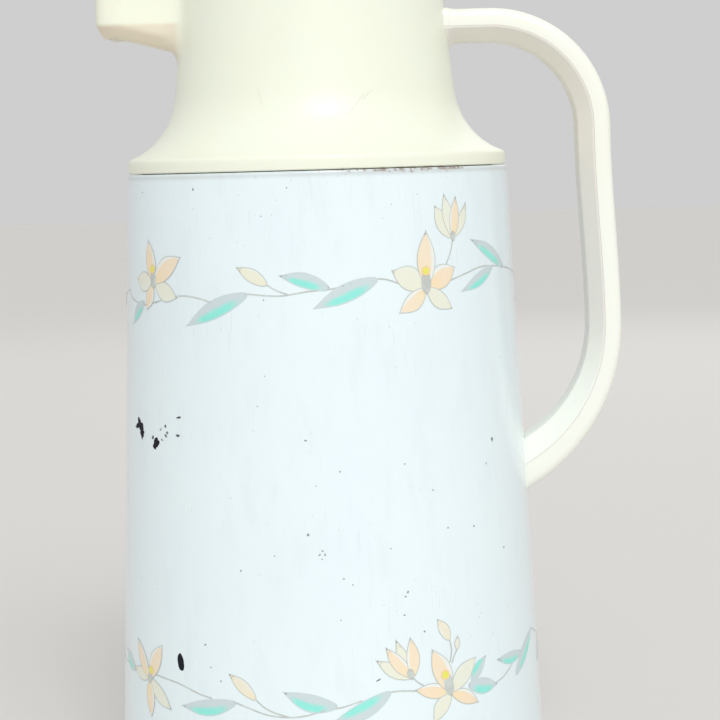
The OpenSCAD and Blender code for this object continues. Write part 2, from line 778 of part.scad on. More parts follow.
module foot_pads() {
    color(grey_rubber) at_feet() rotate_extrude($fn = 48) polygon([
        [0, 0], [foot_r - 0.5, 0], [foot_r, 0.5], [foot_r, foot_h + foot_inset],
        [0, foot_h + foot_inset]
    ]);
}

module bottom_cap() {
    top = bottle_foot_z - cushion_h;
    under = top - tower_shelf_t;
    inside = tower_r - tower_wall;
    floor_top = cap_z + cap_floor_t;
    rim_top = base_h + 0.5;
    grip_r = 7;
    grip_depth = 1.6;
    color(ivory) difference() {
        rotate_extrude() polygon([
            [0, cap_z], [cap_flange_r, cap_z], [cap_flange_r, cap_z + cap_flange_t],
            [cap_r, cap_z + cap_flange_t], [cap_r, rim_top], [cap_r - cap_wall, rim_top],
            [cap_r - cap_wall, floor_top], [tower_r, floor_top], [tower_r, top + tower_lip],
            [inside, top + tower_lip], [inside, top], [tower_r - tower_shelf_w, top],
            [tower_r - tower_shelf_w, under], [inside, under], [inside, floor_top],
            [0, floor_top]
        ]);
        // two hollows for the fingers that turn the cap
        for (s = [-1, 1]) translate([s * cap_r * 0.62, 0, 0])
            cylinder(r = grip_r, h = cap_z + grip_depth, $fn = 48);
    }
}

module bottle_cushion() {
    outer = tower_r - tower_wall - seat_gap;
    color(grey_rubber) ring(outer, outer - cushion_w,
        bottle_foot_z - cushion_h + eps, bottle_foot_z - seat_gap);
}

// ================= handle =================

// [outer point, inner point] of the handle's side view, from the neck to the sleeve
function handle_stations() = concat(
    [for (x = [neck_top_r - 5, (neck_top_r + arch_c[0]) / 2])
        [[x, arch_c[1] + arch_r], [x, arch_c[1] + arch_r - handle_t]]],
    [for (i = [0 : 14]) let (a = 90 - 90 * i / 14, d = [cos(a), sin(a)])
        [arch_c + arch_r * d, arch_c + (arch_r - handle_t) * d]],
    [for (i = [1 : 2]) let (z = arch_c[1] + (grip_foot_z - arch_c[1]) * i / 3,
            x = handle_reach + handle_lean * i / 3)
        [[x, z], [x - handle_t, z]]],
    [for (i = [0 : 13]) let (a = -sweep_a * i / 13, d = [cos(a), sin(a)])
        [sweep_out_c + sweep_outer_r * d, sweep_in_c + sweep_inner_r * d]]
);

// section across the handle as [across, depth below the outer face], for thickness t
function outer_section(t) = let (w = handle_w / 2, r = edge_round, s = split * t) concat(
    [[-w, s]],
    [for (i = [0 : 5]) let (a = 180 + 15 * i) [r - w + r * cos(a), r + crown + r * sin(a)]],
    [[0, 0]],
    [for (i = [0 : 5]) let (a = 285 + 15 * i) [w - r + r * cos(a), r + crown + r * sin(a)]],
    [[w, s]]
);
function inner_section(t) = let (w = handle_w / 2, v = handle_inner_w / 2,
        s = split * t + split_gap) [
    [-w, s], [w, s], [w, s + 0.5], [v + 0.9, t - 1.1], [v, t - 0.35], [v - 1.2, t],
    [1.2 - v, t], [-v, t - 0.35], [-v - 0.9, t - 1.1], [-w, s + 0.5]
];

// one half of the handle, ending clear of the neck and the sleeve
module handle_half(outer_half) {
    difference() {
        loft([for (st = handle_stations()) let (t = norm(st[0] - st[1]), d = (st[1] - st[0]) / t)
            [for (p = outer_half ? outer_section(t) : inner_section(t))
                [st[0][0] + d[0] * p[1], p[0], st[0][1] + d[1] * p[1]]]]);
        // the neck's taper and the sleeve's
        rotate_extrude() translate([0, seam_z]) polygon([
            [0, 20], [neck_root_r + 4, 20], [neck_root_r + seat_gap, flare_h],
            [neck_bend_r + seat_gap, neck_bend_h], [neck_top_r + seat_gap, neck_h], [0, neck_h]
        ]);
        sleeve_form(seat_gap);
        if (outer_half) for (s = [-1, 1]) {
            translate([collar_r, s * screw_y, top_screw_z]) rotate([0, 90, 0])
                cylinder(r = screw_r + screw_gap, h = 1.5 * top_screw_len, $fn = 32);
            translate([low_screw_seat, s * screw_y, low_screw_z]) rotate([0, 90, 0])
                cylinder(r = screw_r + screw_gap, h = low_screw_len + 1, $fn = 32);
        }
    }
}

module handle_outer() { color(cream) handle_half(true); }
module handle_inner() { color(cream) handle_half(false); }

// inner face of the neck's wall where the handle's upper screws sit
top_screw_seat = sqrt(pow(neck_r(top_screw_z - seam_z) - shoulder_t, 2)
    - pow(screw_y + screw_head_r, 2)) - 0.05;
low_seat_r = sleeve_r(low_screw_z + bracket_h / 2) - sleeve_t - seat_gap;
low_screw_seat = sqrt(pow(low_seat_r - bracket_t, 2) - pow(screw_y + screw_head_r, 2)) - 0.05;

module handle_screws() {
    color(steel) for (s = [-1, 1]) {
        screw_x(top_screw_seat, s * screw_y, top_screw_z, top_screw_len);
        screw_x(low_screw_seat, s * screw_y, low_screw_z, low_screw_len);
    }
}

// curved plate inside the sleeve that spreads the handle's load
module handle_bracket() {
    foot = low_screw_z - bracket_h / 2;
    foot_out_r = sleeve_r(foot) - sleeve_t - seat_gap;
    color(steel) difference() {
        intersection() {
            translate([0, 0, foot]) difference() {
                cylinder(r1 = foot_out_r, r2 = low_seat_r, h = bracket_h);
                translate([0, 0, -eps]) cylinder(
                    r1 = foot_out_r - bracket_t, r2 = low_seat_r - bracket_t,
                    h = bracket_h + 2 * eps);
            }
            translate([0, -handle_w / 2, 0]) cube([2 * foot_out_r, handle_w, 2 * low_screw_z]);
        }
        for (s = [-1, 1]) translate([0, s * screw_y, low_screw_z]) rotate([0, 90, 0])
            cylinder(r = screw_r + screw_clear, h = 2 * bottle_r, $fn = 32);
    }
}

// ================= lid =================

module hinge_pin() {
    len = 2 * (knuckle_half_w + ear_t + pin_over);
    color(steel) translate([hinge_x, len / 2, hinge_z]) rotate([90, 0, 0])
        cylinder(r = pin_r, h = len, $fn = 48);
}

module lid_cover() {
    r = lid_round_r;
    knuckle_w = 2 * (knuckle_half_w - slide_gap);
    opening_r = ring_skirt_r + slide_gap;
    boss_z = flange_z + flange_t + seat_gap;
    crest = knuckle_r + 5;
    color(ivory) difference() {
        union() {
            rotate_extrude() polygon(concat(
                [[lid_r, lid_z]],
                arc_points([lid_r - r, lid_top - r], r, 0, 90, 12),
                [[opening_r, lid_top], [opening_r, lid_top - lid_t]],
                arc_points([lid_r - r, lid_top - r], r - lid_t, 90, 0, 10),
                [[lid_r - lid_t, lid_z]]
            ));
            // bosses for the screws that hold the pump housing
            for (a = LID_SCREW_ANGLES) rotate([0, 0, a]) translate([lid_screw_r0, 0, boss_z])
                cylinder(r = lid_boss_r, h = lid_top - lid_t + 0.4 - boss_z, $fn = 48);
            // knuckle of the hinge, blended into the lid's back
            rotate([90, 0, 0]) translate([0, 0, -knuckle_w / 2]) linear_extrude(height = knuckle_w)
                union() {
                    translate([hinge_x, hinge_z]) circle(r = knuckle_r, $fn = 48);
                    polygon([
                        [cover_in_r + 0.6, lid_z], [neck_top_r + 1, lid_z],
                        [hinge_x, hinge_z - knuckle_r + 1.4], [hinge_x, hinge_z + knuckle_r],
                        [lid_r - 1, hinge_z + crest], [cover_in_r + 0.6, hinge_z + crest]
                    ]);
                }
        }
        for (a = LID_SCREW_ANGLES) rotate([0, 0, a]) translate([lid_screw_r0, 0, flange_z])
            cylinder(r = screw_r + screw_gap, h = lid_screw_len, $fn = 32);
        translate([hinge_x, 0, hinge_z]) rotate([90, 0, 0])
            cylinder(r = pin_r + pin_gap, h = lid_r, center = true, $fn = 48);
        // window for the latch's thumb piece
        translate([-lid_r - latch_out, -latch_w / 2 - slide_gap, latch_z - slide_gap])
            cube([lid_r - cover_in_r + 2 * latch_out + 1, latch_w + 2 * slide_gap,
                latch_h + 2 * slide_gap]);
    }
}

module pump_housing() {
    bottom = floor_z - floor_t;
    boss_z = seat_z + seat_rise + gasket_h;
    boss_in = gasket_in_r - 2;
    boss_out = gasket_out_r + slide_gap;
    wall_top = button_flange_z + slide_gap * 2;
    flange_r = cover_in_r - slide_gap;
    cup_round = 5;                       // the cup's floor rises to its wall
    slot_x = cover_in_r - latch_depth - 0.2;
    color(inner_white) difference() {
        rotate_extrude() polygon([
            [0, bottom], [boss_in, bottom], [boss_in, boss_z],
            [boss_out, boss_z], [boss_out, bottom + 0.2],
            [cup_out_r, bottom + cup_round + 1], [cup_out_r, flange_z],
            [flange_r, flange_z], [flange_r, flange_z + flange_t],
            [cup_out_r, flange_z + flange_t], [cup_out_r, wall_top], [cup_r, wall_top],
            [cup_r, floor_z + cup_round], [cup_r - cup_round + 1, floor_z], [0, floor_z]
        ]);
        // stem hole and air holes of the umbrella valve
        translate([0, 0, bottom - floor_t])
            cylinder(r = stem_r + stem_gap, h = 3 * floor_t, $fn = 32);
        for (a = [0 : 60 : 300]) rotate([0, 0, a]) translate([valve_hole_ring, 0, bottom - floor_t])
            cylinder(r = valve_hole_r, h = 3 * floor_t, $fn = 24);
        // way for the latch's leg
        translate([-slot_x, -latch_leg_w / 2 - slide_gap, flange_z - 1])
            cube([slot_x - cup_out_r - 0.2, latch_leg_w + 2 * slide_gap, flange_t + 2]);
        for (a = LID_SCREW_ANGLES) rotate([0, 0, a]) translate([lid_screw_r0, 0, flange_z - 1]) {
            cylinder(r = screw_r + screw_clear, h = flange_t + 2, $fn = 32);
            cylinder(r = screw_head_r + screw_clear, h = 1 + screw_sink, $fn = 32);
        }
    }
}

module lid_screws() {
    color(steel) for (a = LID_SCREW_ANGLES) rotate([0, 0, a])
        translate([lid_screw_r0, 0, flange_z + screw_sink - screw_head_t]) {
            cylinder(r = screw_head_r, h = screw_head_t, $fn = 32);
            cylinder(r = screw_r, h = lid_screw_len, $fn = 32);
        }
}

module stopper_gasket() {
    foot = seat_z + seat_rise;
    top = foot + gasket_h - eps;
    bevel = 0.6;
    color(rubber) rotate_extrude() polygon([
        [gasket_in_r, foot + bevel], [gasket_in_r, top], [gasket_out_r, top],
        [gasket_out_r, foot + bevel], [gasket_out_r - bevel, foot], [gasket_in_r + bevel, foot]
    ]);
}

// umbrella valve: disc below, stem through the floor and a bulb above it
module valve_flap() {
    bottom = floor_z - floor_t;
    color(rubber) rotate_extrude($fn = 48) polygon([
        [0, bottom - 1.4], [3, bottom - 1.4], [valve_r, bottom - 0.6], [valve_r, bottom - eps],
        [stem_r, bottom - eps], [stem_r, floor_z + eps], [stem_r + 0.8, floor_z + 0.6],
        [stem_r - 0.2, floor_z + 2.4], [0, floor_z + 2.4]
    ]);
}

module inlet_valve() {
    under = button_top - button_t;
    color(rubber) rotate_extrude($fn = 48) polygon([
        [0, under - 1.6], [2.6, under - 1.6], [valve_r - 2, under - 0.6],
        [valve_r - 2, under - eps], [stem_r, under - eps], [stem_r, button_top - 1],
        [0, button_top - 1]
    ]);
}

// folded tube between the cup's floor and the button
module bellows() {
    z0 = floor_z + stem_gap;
    h = button_top - button_t - stem_gap - z0;
    n = 2 * bellows_folds;
    zig = [for (i = [0 : n]) [bellows_r - i % 2 * bellows_fold, z0 + h * i / n]];
    color(rubber) rotate_extrude() polygon(concat(
        zig,
        [for (i = [n : -1 : 0]) let (p = zig[i])
            [p[0] - bellows_t * 1.25, min(max(p[1], z0), z0 + h)]]
    ));
}

module pump_spring() {
    z0 = floor_z + stem_gap + spring_wire / 2;
    z1 = button_top - button_t - stem_gap - spring_wire / 2;
    steps = 18;
    n = spring_turns * steps;
    // flat end coils, even pitch between them
    function rise(t) = t < 1 ? 0.06 * t
        : t > spring_turns - 1 ? 1 - 0.06 * (spring_turns - t)
        : 0.06 + 0.88 * (t - 1) / (spring_turns - 2);
    color(steel) loft([for (k = [0 : n]) let (t = k / steps, a = 360 * t,
            z = z0 + (z1 - z0) * rise(t))
        [for (j = [0 : 5]) let (b = -60 * j, r = spring_r + spring_wire / 2 * cos(b))
            [r * cos(a), r * sin(a), z + spring_wire / 2 * sin(b)]]]);
}

module push_button() {
    top = button_top;
    r = button_r;
    e = button_edge_r;
    skirt = r - button_wall;
    flange_top = button_flange_z + button_flange_t;
    color(ivory) difference() {
        rotate_extrude() polygon(concat(
            [[0, top - button_dish], [r * 0.55, top - button_dish * 0.8], [r - button_land, top]],
            arc_points([r - e, top - e], e, 90, 0, 5),
            [[r, flange_top], [button_flange_r, flange_top],
             [button_flange_r, button_flange_z], [skirt, button_flange_z],
             [skirt, top - button_t], [0, top - button_t]]
        ));
        translate([0, 0, top - 2 * button_t])
            cylinder(r = stem_r + stem_gap, h = 3 * button_t, $fn = 32);
    }
}

// ring around the button; a quarter of a turn locks the pump
module lock_ring() {
    low = button_flange_z + button_flange_t + slide_gap;
    lip_top = lid_top - lid_t - slide_gap;
    under = lid_top + ring_lift;
    top = under + ring_t;
    edge = 0.8;
    lip_r = ring_skirt_r + ring_lip;
    color(cream) union() {
        rotate_extrude() polygon([
            [ring_in_r, low], [lip_r, low], [lip_r, lip_top],
            [ring_skirt_r, lip_top], [ring_skirt_r, under], [ring_r, under],
            [ring_r, top - edge], [ring_r - edge, top],
            [ring_in_r + 0.6, top], [ring_in_r, top - 0.6]
        ]);
        // thumb piece on the ring's edge
        intersection() {
            rotate([0, 0, -60]) translate([ring_r - tab_out, -tab_w / 2, under])
                cube([3 * tab_out, tab_w, ring_t + tab_rise]);
            ring(ring_r + tab_out, ring_r - 2 * edge, under, top + tab_rise);
        }
    }
}

module lid_latch() {
    face_r = lid_r + latch_out;
    back_x = cover_in_r - latch_depth;
    bridge_z = latch_z + 1;
    leg_y = -latch_leg_w / 2;
    color(cream) union() {
        // thumb piece, rounded with the lid
        intersection() {
            translate([-face_r, -latch_w / 2, latch_z])
                cube([face_r - back_x, latch_w, latch_h]);
            translate([0, 0, latch_z - 1]) cylinder(r = face_r, h = latch_h + 2);
        }
        // bridge to the leg, the leg, and the hook at its foot
        translate([-back_x - 1, leg_y, bridge_z])
            cube([back_x + 1 - latch_leg_x, latch_leg_w, bridge_t]);
        translate([-latch_leg_x - latch_leg_t, leg_y, hook_z])
            cube([latch_leg_t, latch_leg_w, bridge_z + bridge_t - hook_z]);
        translate([-hook_reach, leg_y + 0.8, hook_z])
            cube([hook_reach - latch_leg_x - 0.4, latch_leg_w - 1.6, hook_t]);
    }
}

// ================= the pot =================

body_sleeve();
shoulder();
spout_cap();
outlet_nozzle();
outlet_pipe();
pipe_grommet();
dip_tube();
vacuum_bottle();
mouth_gasket();
mouth_collar();
base_ring();
bottom_cap();
bottle_cushion();
foot_pads();
handle_outer();
handle_inner();
handle_screws();
handle_bracket();
hinge_pin();
lid_cover();
pump_housing();
lid_screws();
stopper_gasket();
valve_flap();
bellows();
pump_spring();
push_button();
inlet_valve();
lock_ring();
lid_latch();
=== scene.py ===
import math

import bmesh
import bpy
from mathutils import Matrix, Vector, noise


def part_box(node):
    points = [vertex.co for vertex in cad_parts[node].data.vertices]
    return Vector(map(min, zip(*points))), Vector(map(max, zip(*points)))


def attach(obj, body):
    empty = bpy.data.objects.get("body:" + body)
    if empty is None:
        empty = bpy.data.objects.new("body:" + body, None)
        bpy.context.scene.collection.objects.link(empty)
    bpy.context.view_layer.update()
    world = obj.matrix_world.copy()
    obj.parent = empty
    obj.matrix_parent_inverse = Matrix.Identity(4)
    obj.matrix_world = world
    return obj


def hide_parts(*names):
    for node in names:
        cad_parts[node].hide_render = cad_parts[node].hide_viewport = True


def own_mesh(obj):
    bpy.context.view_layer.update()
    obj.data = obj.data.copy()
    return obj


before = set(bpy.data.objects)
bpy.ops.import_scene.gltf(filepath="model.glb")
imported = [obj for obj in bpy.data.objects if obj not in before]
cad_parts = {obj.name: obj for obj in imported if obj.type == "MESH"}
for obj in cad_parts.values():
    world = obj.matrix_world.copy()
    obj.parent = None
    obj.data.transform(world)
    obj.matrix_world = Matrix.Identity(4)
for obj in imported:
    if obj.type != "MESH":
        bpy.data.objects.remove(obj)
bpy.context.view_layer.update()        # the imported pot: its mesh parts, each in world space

bl_info = {
    "name": "Pump Pot",
    "version": (1, 0, 0),
    "blender": (4, 5, 0),
    "location": "3D Viewport > Sidebar > Pump Pot",
    "description": "Makes the visible pieces and finishes of a pump pot over its solid model",
    "category": "Add Mesh",
}

MM = 0.001
SLEEVE_LOW, SLEEVE_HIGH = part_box("body_sleeve")
SHOULDER_LOW, SHOULDER_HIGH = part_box("shoulder")
COLLAR_GAP = 0.0006      # the collar's rim below the neck's


def paint(red, green, blue):
    """Linear colour of a swatch given on the 0 to 255 scale of a screen."""
    def linear(v):
        v /= 255
        return v / 12.92 if v <= 0.04045 else ((v + 0.055) / 1.055) ** 2.4
    return (linear(red), linear(green), linear(blue))


def length(name, default, text):
    return bpy.props.FloatProperty(
        name=name, description=text, default=default, min=0.0, precision=4,
        subtype="DISTANCE", unit="LENGTH")


def colour(name, default, text):
    return bpy.props.FloatVectorProperty(
        name=name, description=text, default=default, min=0.0, max=1.0, size=3,
        subtype="COLOR")


class PumpPotSizes(bpy.types.PropertyGroup):
    """Sizes of the visible pieces"""

    seam_height: length("Seam height", SLEEVE_HIGH.z, "Height of the seam over the sleeve")
    sleeve_foot: length("Sleeve foot", SLEEVE_LOW.z, "Height of the sleeve's lower edge")
    sleeve_top_radius: length("Sleeve top radius", 0.073, "Radius of the sleeve at the seam")
    sleeve_foot_radius: length(
        "Sleeve foot radius", SLEEVE_HIGH.x, "Radius of the sleeve at its lower edge")
    rim_height: length(
        "Rim height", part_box("mouth_collar")[1].z + COLLAR_GAP, "Height of the neck's rim")
    spout_reach: length("Spout reach", -SHOULDER_LOW.x, "From the axis to the spout's front")
    spout_width: length("Spout width", 0.028, "Width of the spout")
    spout_height: length("Spout height", 0.0201, "Height of the spout's front")
    handle_reach: length(
        "Handle reach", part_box("handle_outer")[1].x, "From the axis to the handle's outside")
    handle_width: length("Handle width", 0.024, "Width of the handle across the hand")
    handle_thickness: length("Handle thickness", 0.0126, "Thickness of the grip")
    lid_top: length("Lid top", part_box("lid_cover")[1].z, "Height of the lid's top face")
    button_top: length("Button top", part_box("push_button")[1].z, "Height of the push button")


class PumpPotColours(bpy.types.PropertyGroup):
    """Colours of the visible pieces"""

    shoulder: colour("Shoulder", paint(246, 248, 230), "Ivory plastic of shoulder and lid")
    handle: colour("Handle", paint(248, 249, 239), "Cream plastic of the handle")
    sleeve: colour("Sleeve", paint(235, 248, 251), "Enamel of the sleeve")
    rust: colour("Rust", paint(128, 90, 54), "Rust along the seam")
    chip: colour("Chip", paint(24, 28, 40), "Dark steel in the enamel's chips")
    cream_petal: colour("Cream petals", paint(235, 240, 223), "Pale petals of the print")
    peach_petal: colour("Peach petals", paint(248, 227, 196), "Peach petals of the print")
    heart: colour("Flower hearts", paint(234, 233, 46), "Yellow hearts of the flowers")
    leaf_green: colour("Green of the leaves", paint(150, 243, 229), "Green half of each leaf")
    leaf_grey: colour("Grey of the leaves", paint(206, 220, 223), "Grey half of each leaf")
    print_line: colour("Printed lines", paint(193, 198, 192), "Stems and outlines")
    floor: colour("Floor", paint(222, 220, 216), "Studio floor")


def sizes():
    return bpy.context.scene.pump_pot_sizes


def colours():
    return bpy.context.scene.pump_pot_colours


# ---------------------------------------------------------------- finishes

class Finish:
    """One material's node tree, built up layer by layer on Object coordinates."""

    def __init__(self, name):
        self.material = bpy.data.materials.new(name)
        self.material.use_nodes = True
        self.tree = self.material.node_tree
        self.surface = self.tree.nodes["Principled BSDF"]
        self.place = self.node("ShaderNodeTexCoord").outputs["Object"]

    def node(self, kind, feeds=None, **settings):
        """New node; feeds gives input sockets a value or the output of another node."""
        made = self.tree.nodes.new(kind)
        for key, value in settings.items():
            setattr(made, key, value)
        for socket, value in (feeds or {}).items():
            self.feed(made.inputs[socket], value)
        return made

    def feed(self, socket, value):
        if isinstance(value, bpy.types.NodeSocket):
            self.tree.links.new(value, socket)
        elif socket.type == "RGBA":
            socket.default_value = (*value[:3], 1.0)
        else:
            socket.default_value = value

    def stretched(self, scale):
        """Object coordinates scaled by a different amount along each axis."""
        node = self.node("ShaderNodeMapping", {"Vector": self.place, "Scale": scale})
        return node.outputs["Vector"]

    def noise(self, scale, detail=3.0, roughness=0.5, seed=0.0, place=None):
        node = self.node("ShaderNodeTexNoise", {
            "Vector": place or self.place, "Scale": scale, "Detail": detail,
            "Roughness": roughness, "W": seed}, noise_dimensions="4D")
        return node.outputs["Fac"]

    def cells(self, scale):
        node = self.node("ShaderNodeTexVoronoi", {"Vector": self.place, "Scale": scale},
                         feature="F1")
        return node.outputs["Distance"]

    def mask(self, value, low, high):
        """0 below low, 1 above high, smooth between them."""
        node = self.node("ShaderNodeMapRange", {
            "Value": value, "From Min": low, "From Max": high}, interpolation_type="SMOOTHSTEP")
        return node.outputs["Result"]

    def between(self, value, low, high):
        """value on the scale 0 to 1 brought on to the scale low to high."""
        node = self.node("ShaderNodeMapRange", {"Value": value, "To Min": low, "To Max": high})
        return node.outputs["Result"]

    def sum(self, operation, first, second):
        node = self.node("ShaderNodeMath", {0: first, 1: second}, operation=operation)
        return node.outputs["Value"]

    def mix(self, share, first, second):
        # a mix node keeps its sockets for colours at 6 and 7, and their result at 2
        node = self.node("ShaderNodeMix", {"Factor": share, 6: first, 7: second},
                         data_type="RGBA")
        return node.outputs[2]

    def axis(self, name):
        return self.node("ShaderNodeSeparateXYZ", {"Vector": self.place}).outputs[name]

    def attribute(self, name):
        return self.node("ShaderNodeAttribute", attribute_name=name).outputs["Fac"]

    def near(self, point, reach, ragged, seed):
        """1 inside a ragged patch round a point, 0 outside it."""
        node = self.node("ShaderNodeVectorMath", {0: self.place, 1: point},
                         operation="DISTANCE")
        wobble = self.between(self.noise(1.1 / reach, 4.0, 0.6, seed), -ragged, ragged)
        away = self.sum("ADD", node.outputs["Value"], wobble)
        inside = self.mask(away, reach * 0.9, reach * 1.1)
        return self.sum("SUBTRACT", 1.0, inside)

    def spot(self, point, size, turn, tilt, ragged, seed):
        """1 inside a ragged oval of that half width and half height, 0 outside it."""
        node = self.node("ShaderNodeMapping", {
            "Vector": self.place, "Location": point,
            "Rotation": (0.0, math.radians(tilt), math.radians(turn)),
            "Scale": (size[0], size[1] * 2, size[1])}, vector_type="TEXTURE")
        away = self.node("ShaderNodeVectorMath", {0: node.outputs["Vector"]},
                         operation="LENGTH")
        wobble = self.between(self.noise(0.9 / size[0], 4.0, 0.65, seed), -ragged, ragged)
        away = self.sum("ADD", away.outputs["Value"], wobble)
        return self.sum("SUBTRACT", 1.0, self.mask(away, 0.85, 1.05))

    def coat(self, base=None, roughness=None, height=None, depth=0.0001, **constant):
        """Feeds the surface: base colour, roughness, a bump, and constants by socket name."""
        if base is not None:
            self.feed(self.surface.inputs["Base Color"], base)
        if roughness is not None:
            self.feed(self.surface.inputs["Roughness"], roughness)
        if height is not None:
            bump = self.node("ShaderNodeBump",
                             {"Distance": depth, "Strength": 1.0, "Height": height})
            self.feed(self.surface.inputs["Normal"], bump.outputs["Normal"])
        for name, value in constant.items():
            self.surface.inputs[name.replace("_", " ")].default_value = value
        return self.material


def darker(tone, share):
    return tuple(c * share for c in tone)


def tinted(tone, red, green, blue):
    return (min(tone[0] * red, 1.0), min(tone[1] * green, 1.0), min(tone[2] * blue, 1.0))


def moulded_plastic(name, tone, gloss=0.27, ageing=0.5, scratches=(), shade_under_spout=False,
                    foot=None):
    """Injection-moulded plastic: slight yellowing in clouds, fine skin, rubbed patches."""
    f = Finish(name)
    aged = tinted(tone, 0.99, 0.955, 0.87)
    clouds = f.mask(f.noise(14.0, 4.0, 0.6, 1.0), 0.35, 0.8)
    base = f.mix(f.sum("MULTIPLY", clouds, ageing), tuple(tone), aged)
    grime = f.mask(f.noise(75.0, 6.0, 0.65, 2.0), 0.6, 0.82)
    base = f.mix(f.sum("MULTIPLY", grime, 0.07), base, tinted(tone, 0.8, 0.76, 0.66))
    dust = f.mask(f.cells(260.0), 0.045, 0.02)
    base = f.mix(f.sum("MULTIPLY", dust, 0.16), base, darker(tone, 0.55))
    cuts = 0.0
    for k, (angle, radius, height, size, tilt) in enumerate(scratches):
        a = math.radians(angle)
        point = Vector((radius * math.sin(a), -radius * math.cos(a), height)) * MM
        cut = f.spot(point, (size[0] * MM, size[1] * MM), angle, tilt, 0.3, 40.0 + k)
        cuts = f.sum("MAXIMUM", cut, cuts)
    base = f.mix(f.sum("MULTIPLY", cuts, 0.3), base, tinted(tone, 0.8, 0.78, 0.74))
    if shade_under_spout:
        # painted shade: a tan darkening of the bevel under the spout
        low = f.sum("SUBTRACT", f.mask(f.axis("Z"), 0.291, 0.297),
                    f.mask(f.axis("Z"), 0.3075, 0.3095))
        under = f.sum("MULTIPLY", low, f.mask(f.axis("X"), -0.0485, -0.053))
        rust_stain_and_spout_shade = f.sum("MULTIPLY", under, f.between(f.noise(60.0, 4.0, 0.6, 6.5), 0.5, 1.0))
        base = f.mix(rust_stain_and_spout_shade, base, tinted(tone, 0.86, 0.72, 0.68))
    if foot:
        # painted shade: the upper part stays darker, the foot takes the plain tone
        base = f.mix(f.mask(f.axis("Z"), 0.2, 0.16), base, foot)
    rubbed = f.noise(38.0, 4.0, 0.6, 3.0)
    fine = f.noise(1400.0, 2.0, 0.5, 4.0)
    peel = f.noise(160.0, 2.0, 0.4, 5.0)
    skin = f.sum("ADD", f.sum("MULTIPLY", fine, 0.12), f.sum("MULTIPLY", peel, 0.5))
    skin = f.sum("SUBTRACT", skin, cuts)
    return f.coat(base, f.between(rubbed, gloss + 0.01, gloss + 0.1), skin, 0.00008,
                  Specular_IOR_Level=0.45, Subsurface_Weight=0.06)


def rubber(name, tone, gloss=0.55):
    """Moulded rubber with a matt bloom and fine pitting."""
    f = Finish(name)
    bloom = f.mask(f.noise(55.0, 5.0, 0.6, 6.0), 0.4, 0.75)
    base = f.mix(f.sum("MULTIPLY", bloom, 0.35), darker(tone, 0.88), tinted(tone, 1.1, 1.1, 1.12))
    pits = f.mask(f.noise(1800.0, 2.0, 0.5, 7.0), 0.3, 0.7)
    return f.coat(base, f.between(f.noise(90.0, 3.0, 0.5, 8.0), gloss - 0.08, gloss + 0.15),
                  pits, 0.00005, Specular_IOR_Level=0.35)


def bright_steel(name, tone=(0.62, 0.63, 0.65)):
    """Turned or drawn steel with fine lines, dull patches and a few rust freckles."""
    f = Finish(name)
    lines = f.noise(1.0, 2.0, 0.5, 9.0, f.stretched((500.0, 500.0, 6000.0)))
    dull = f.mask(f.noise(120.0, 4.0, 0.6, 10.0), 0.45, 0.75)
    base = f.mix(f.sum("MULTIPLY", dull, 0.3), tone, darker(tone, 0.72))
    freckle = f.mask(f.cells(420.0), 0.12, 0.05)
    base = f.mix(f.sum("MULTIPLY", freckle, 0.35), base, tuple(colours().rust))
    return f.coat(base, f.between(lines, 0.2, 0.42), lines, 0.00003, Metallic=1.0)


def silvered_glass(name):
    """Glass silvered on the inside of its two shells, with faint streaks in the silver."""
    f = Finish(name)
    streak = f.mask(f.noise(1.0, 4.0, 0.6, 11.0, f.stretched((60.0, 60.0, 14.0))), 0.35, 0.8)
    base = f.mix(streak, (0.74, 0.76, 0.79), (0.6, 0.62, 0.66))
    wave = f.noise(40.0, 2.0, 0.4, 12.0)
    return f.coat(base, f.between(streak, 0.05, 0.16), wave, 0.0002, Metallic=0.85,
                  Coat_Weight=1.0, Coat_Roughness=0.03)


def round_pot(angle, height, lift=0.0):
    """Point on the sleeve, at an angle in degrees to the right of its front, in metres."""
    s = sizes()
    slope = (s.sleeve_foot_radius - s.sleeve_top_radius) / (s.seam_height - s.sleeve_foot)
    r = s.sleeve_top_radius + (s.seam_height - height) * slope + lift
    a = math.radians(angle)
    return Vector((r * math.sin(a), -r * math.cos(a), height))


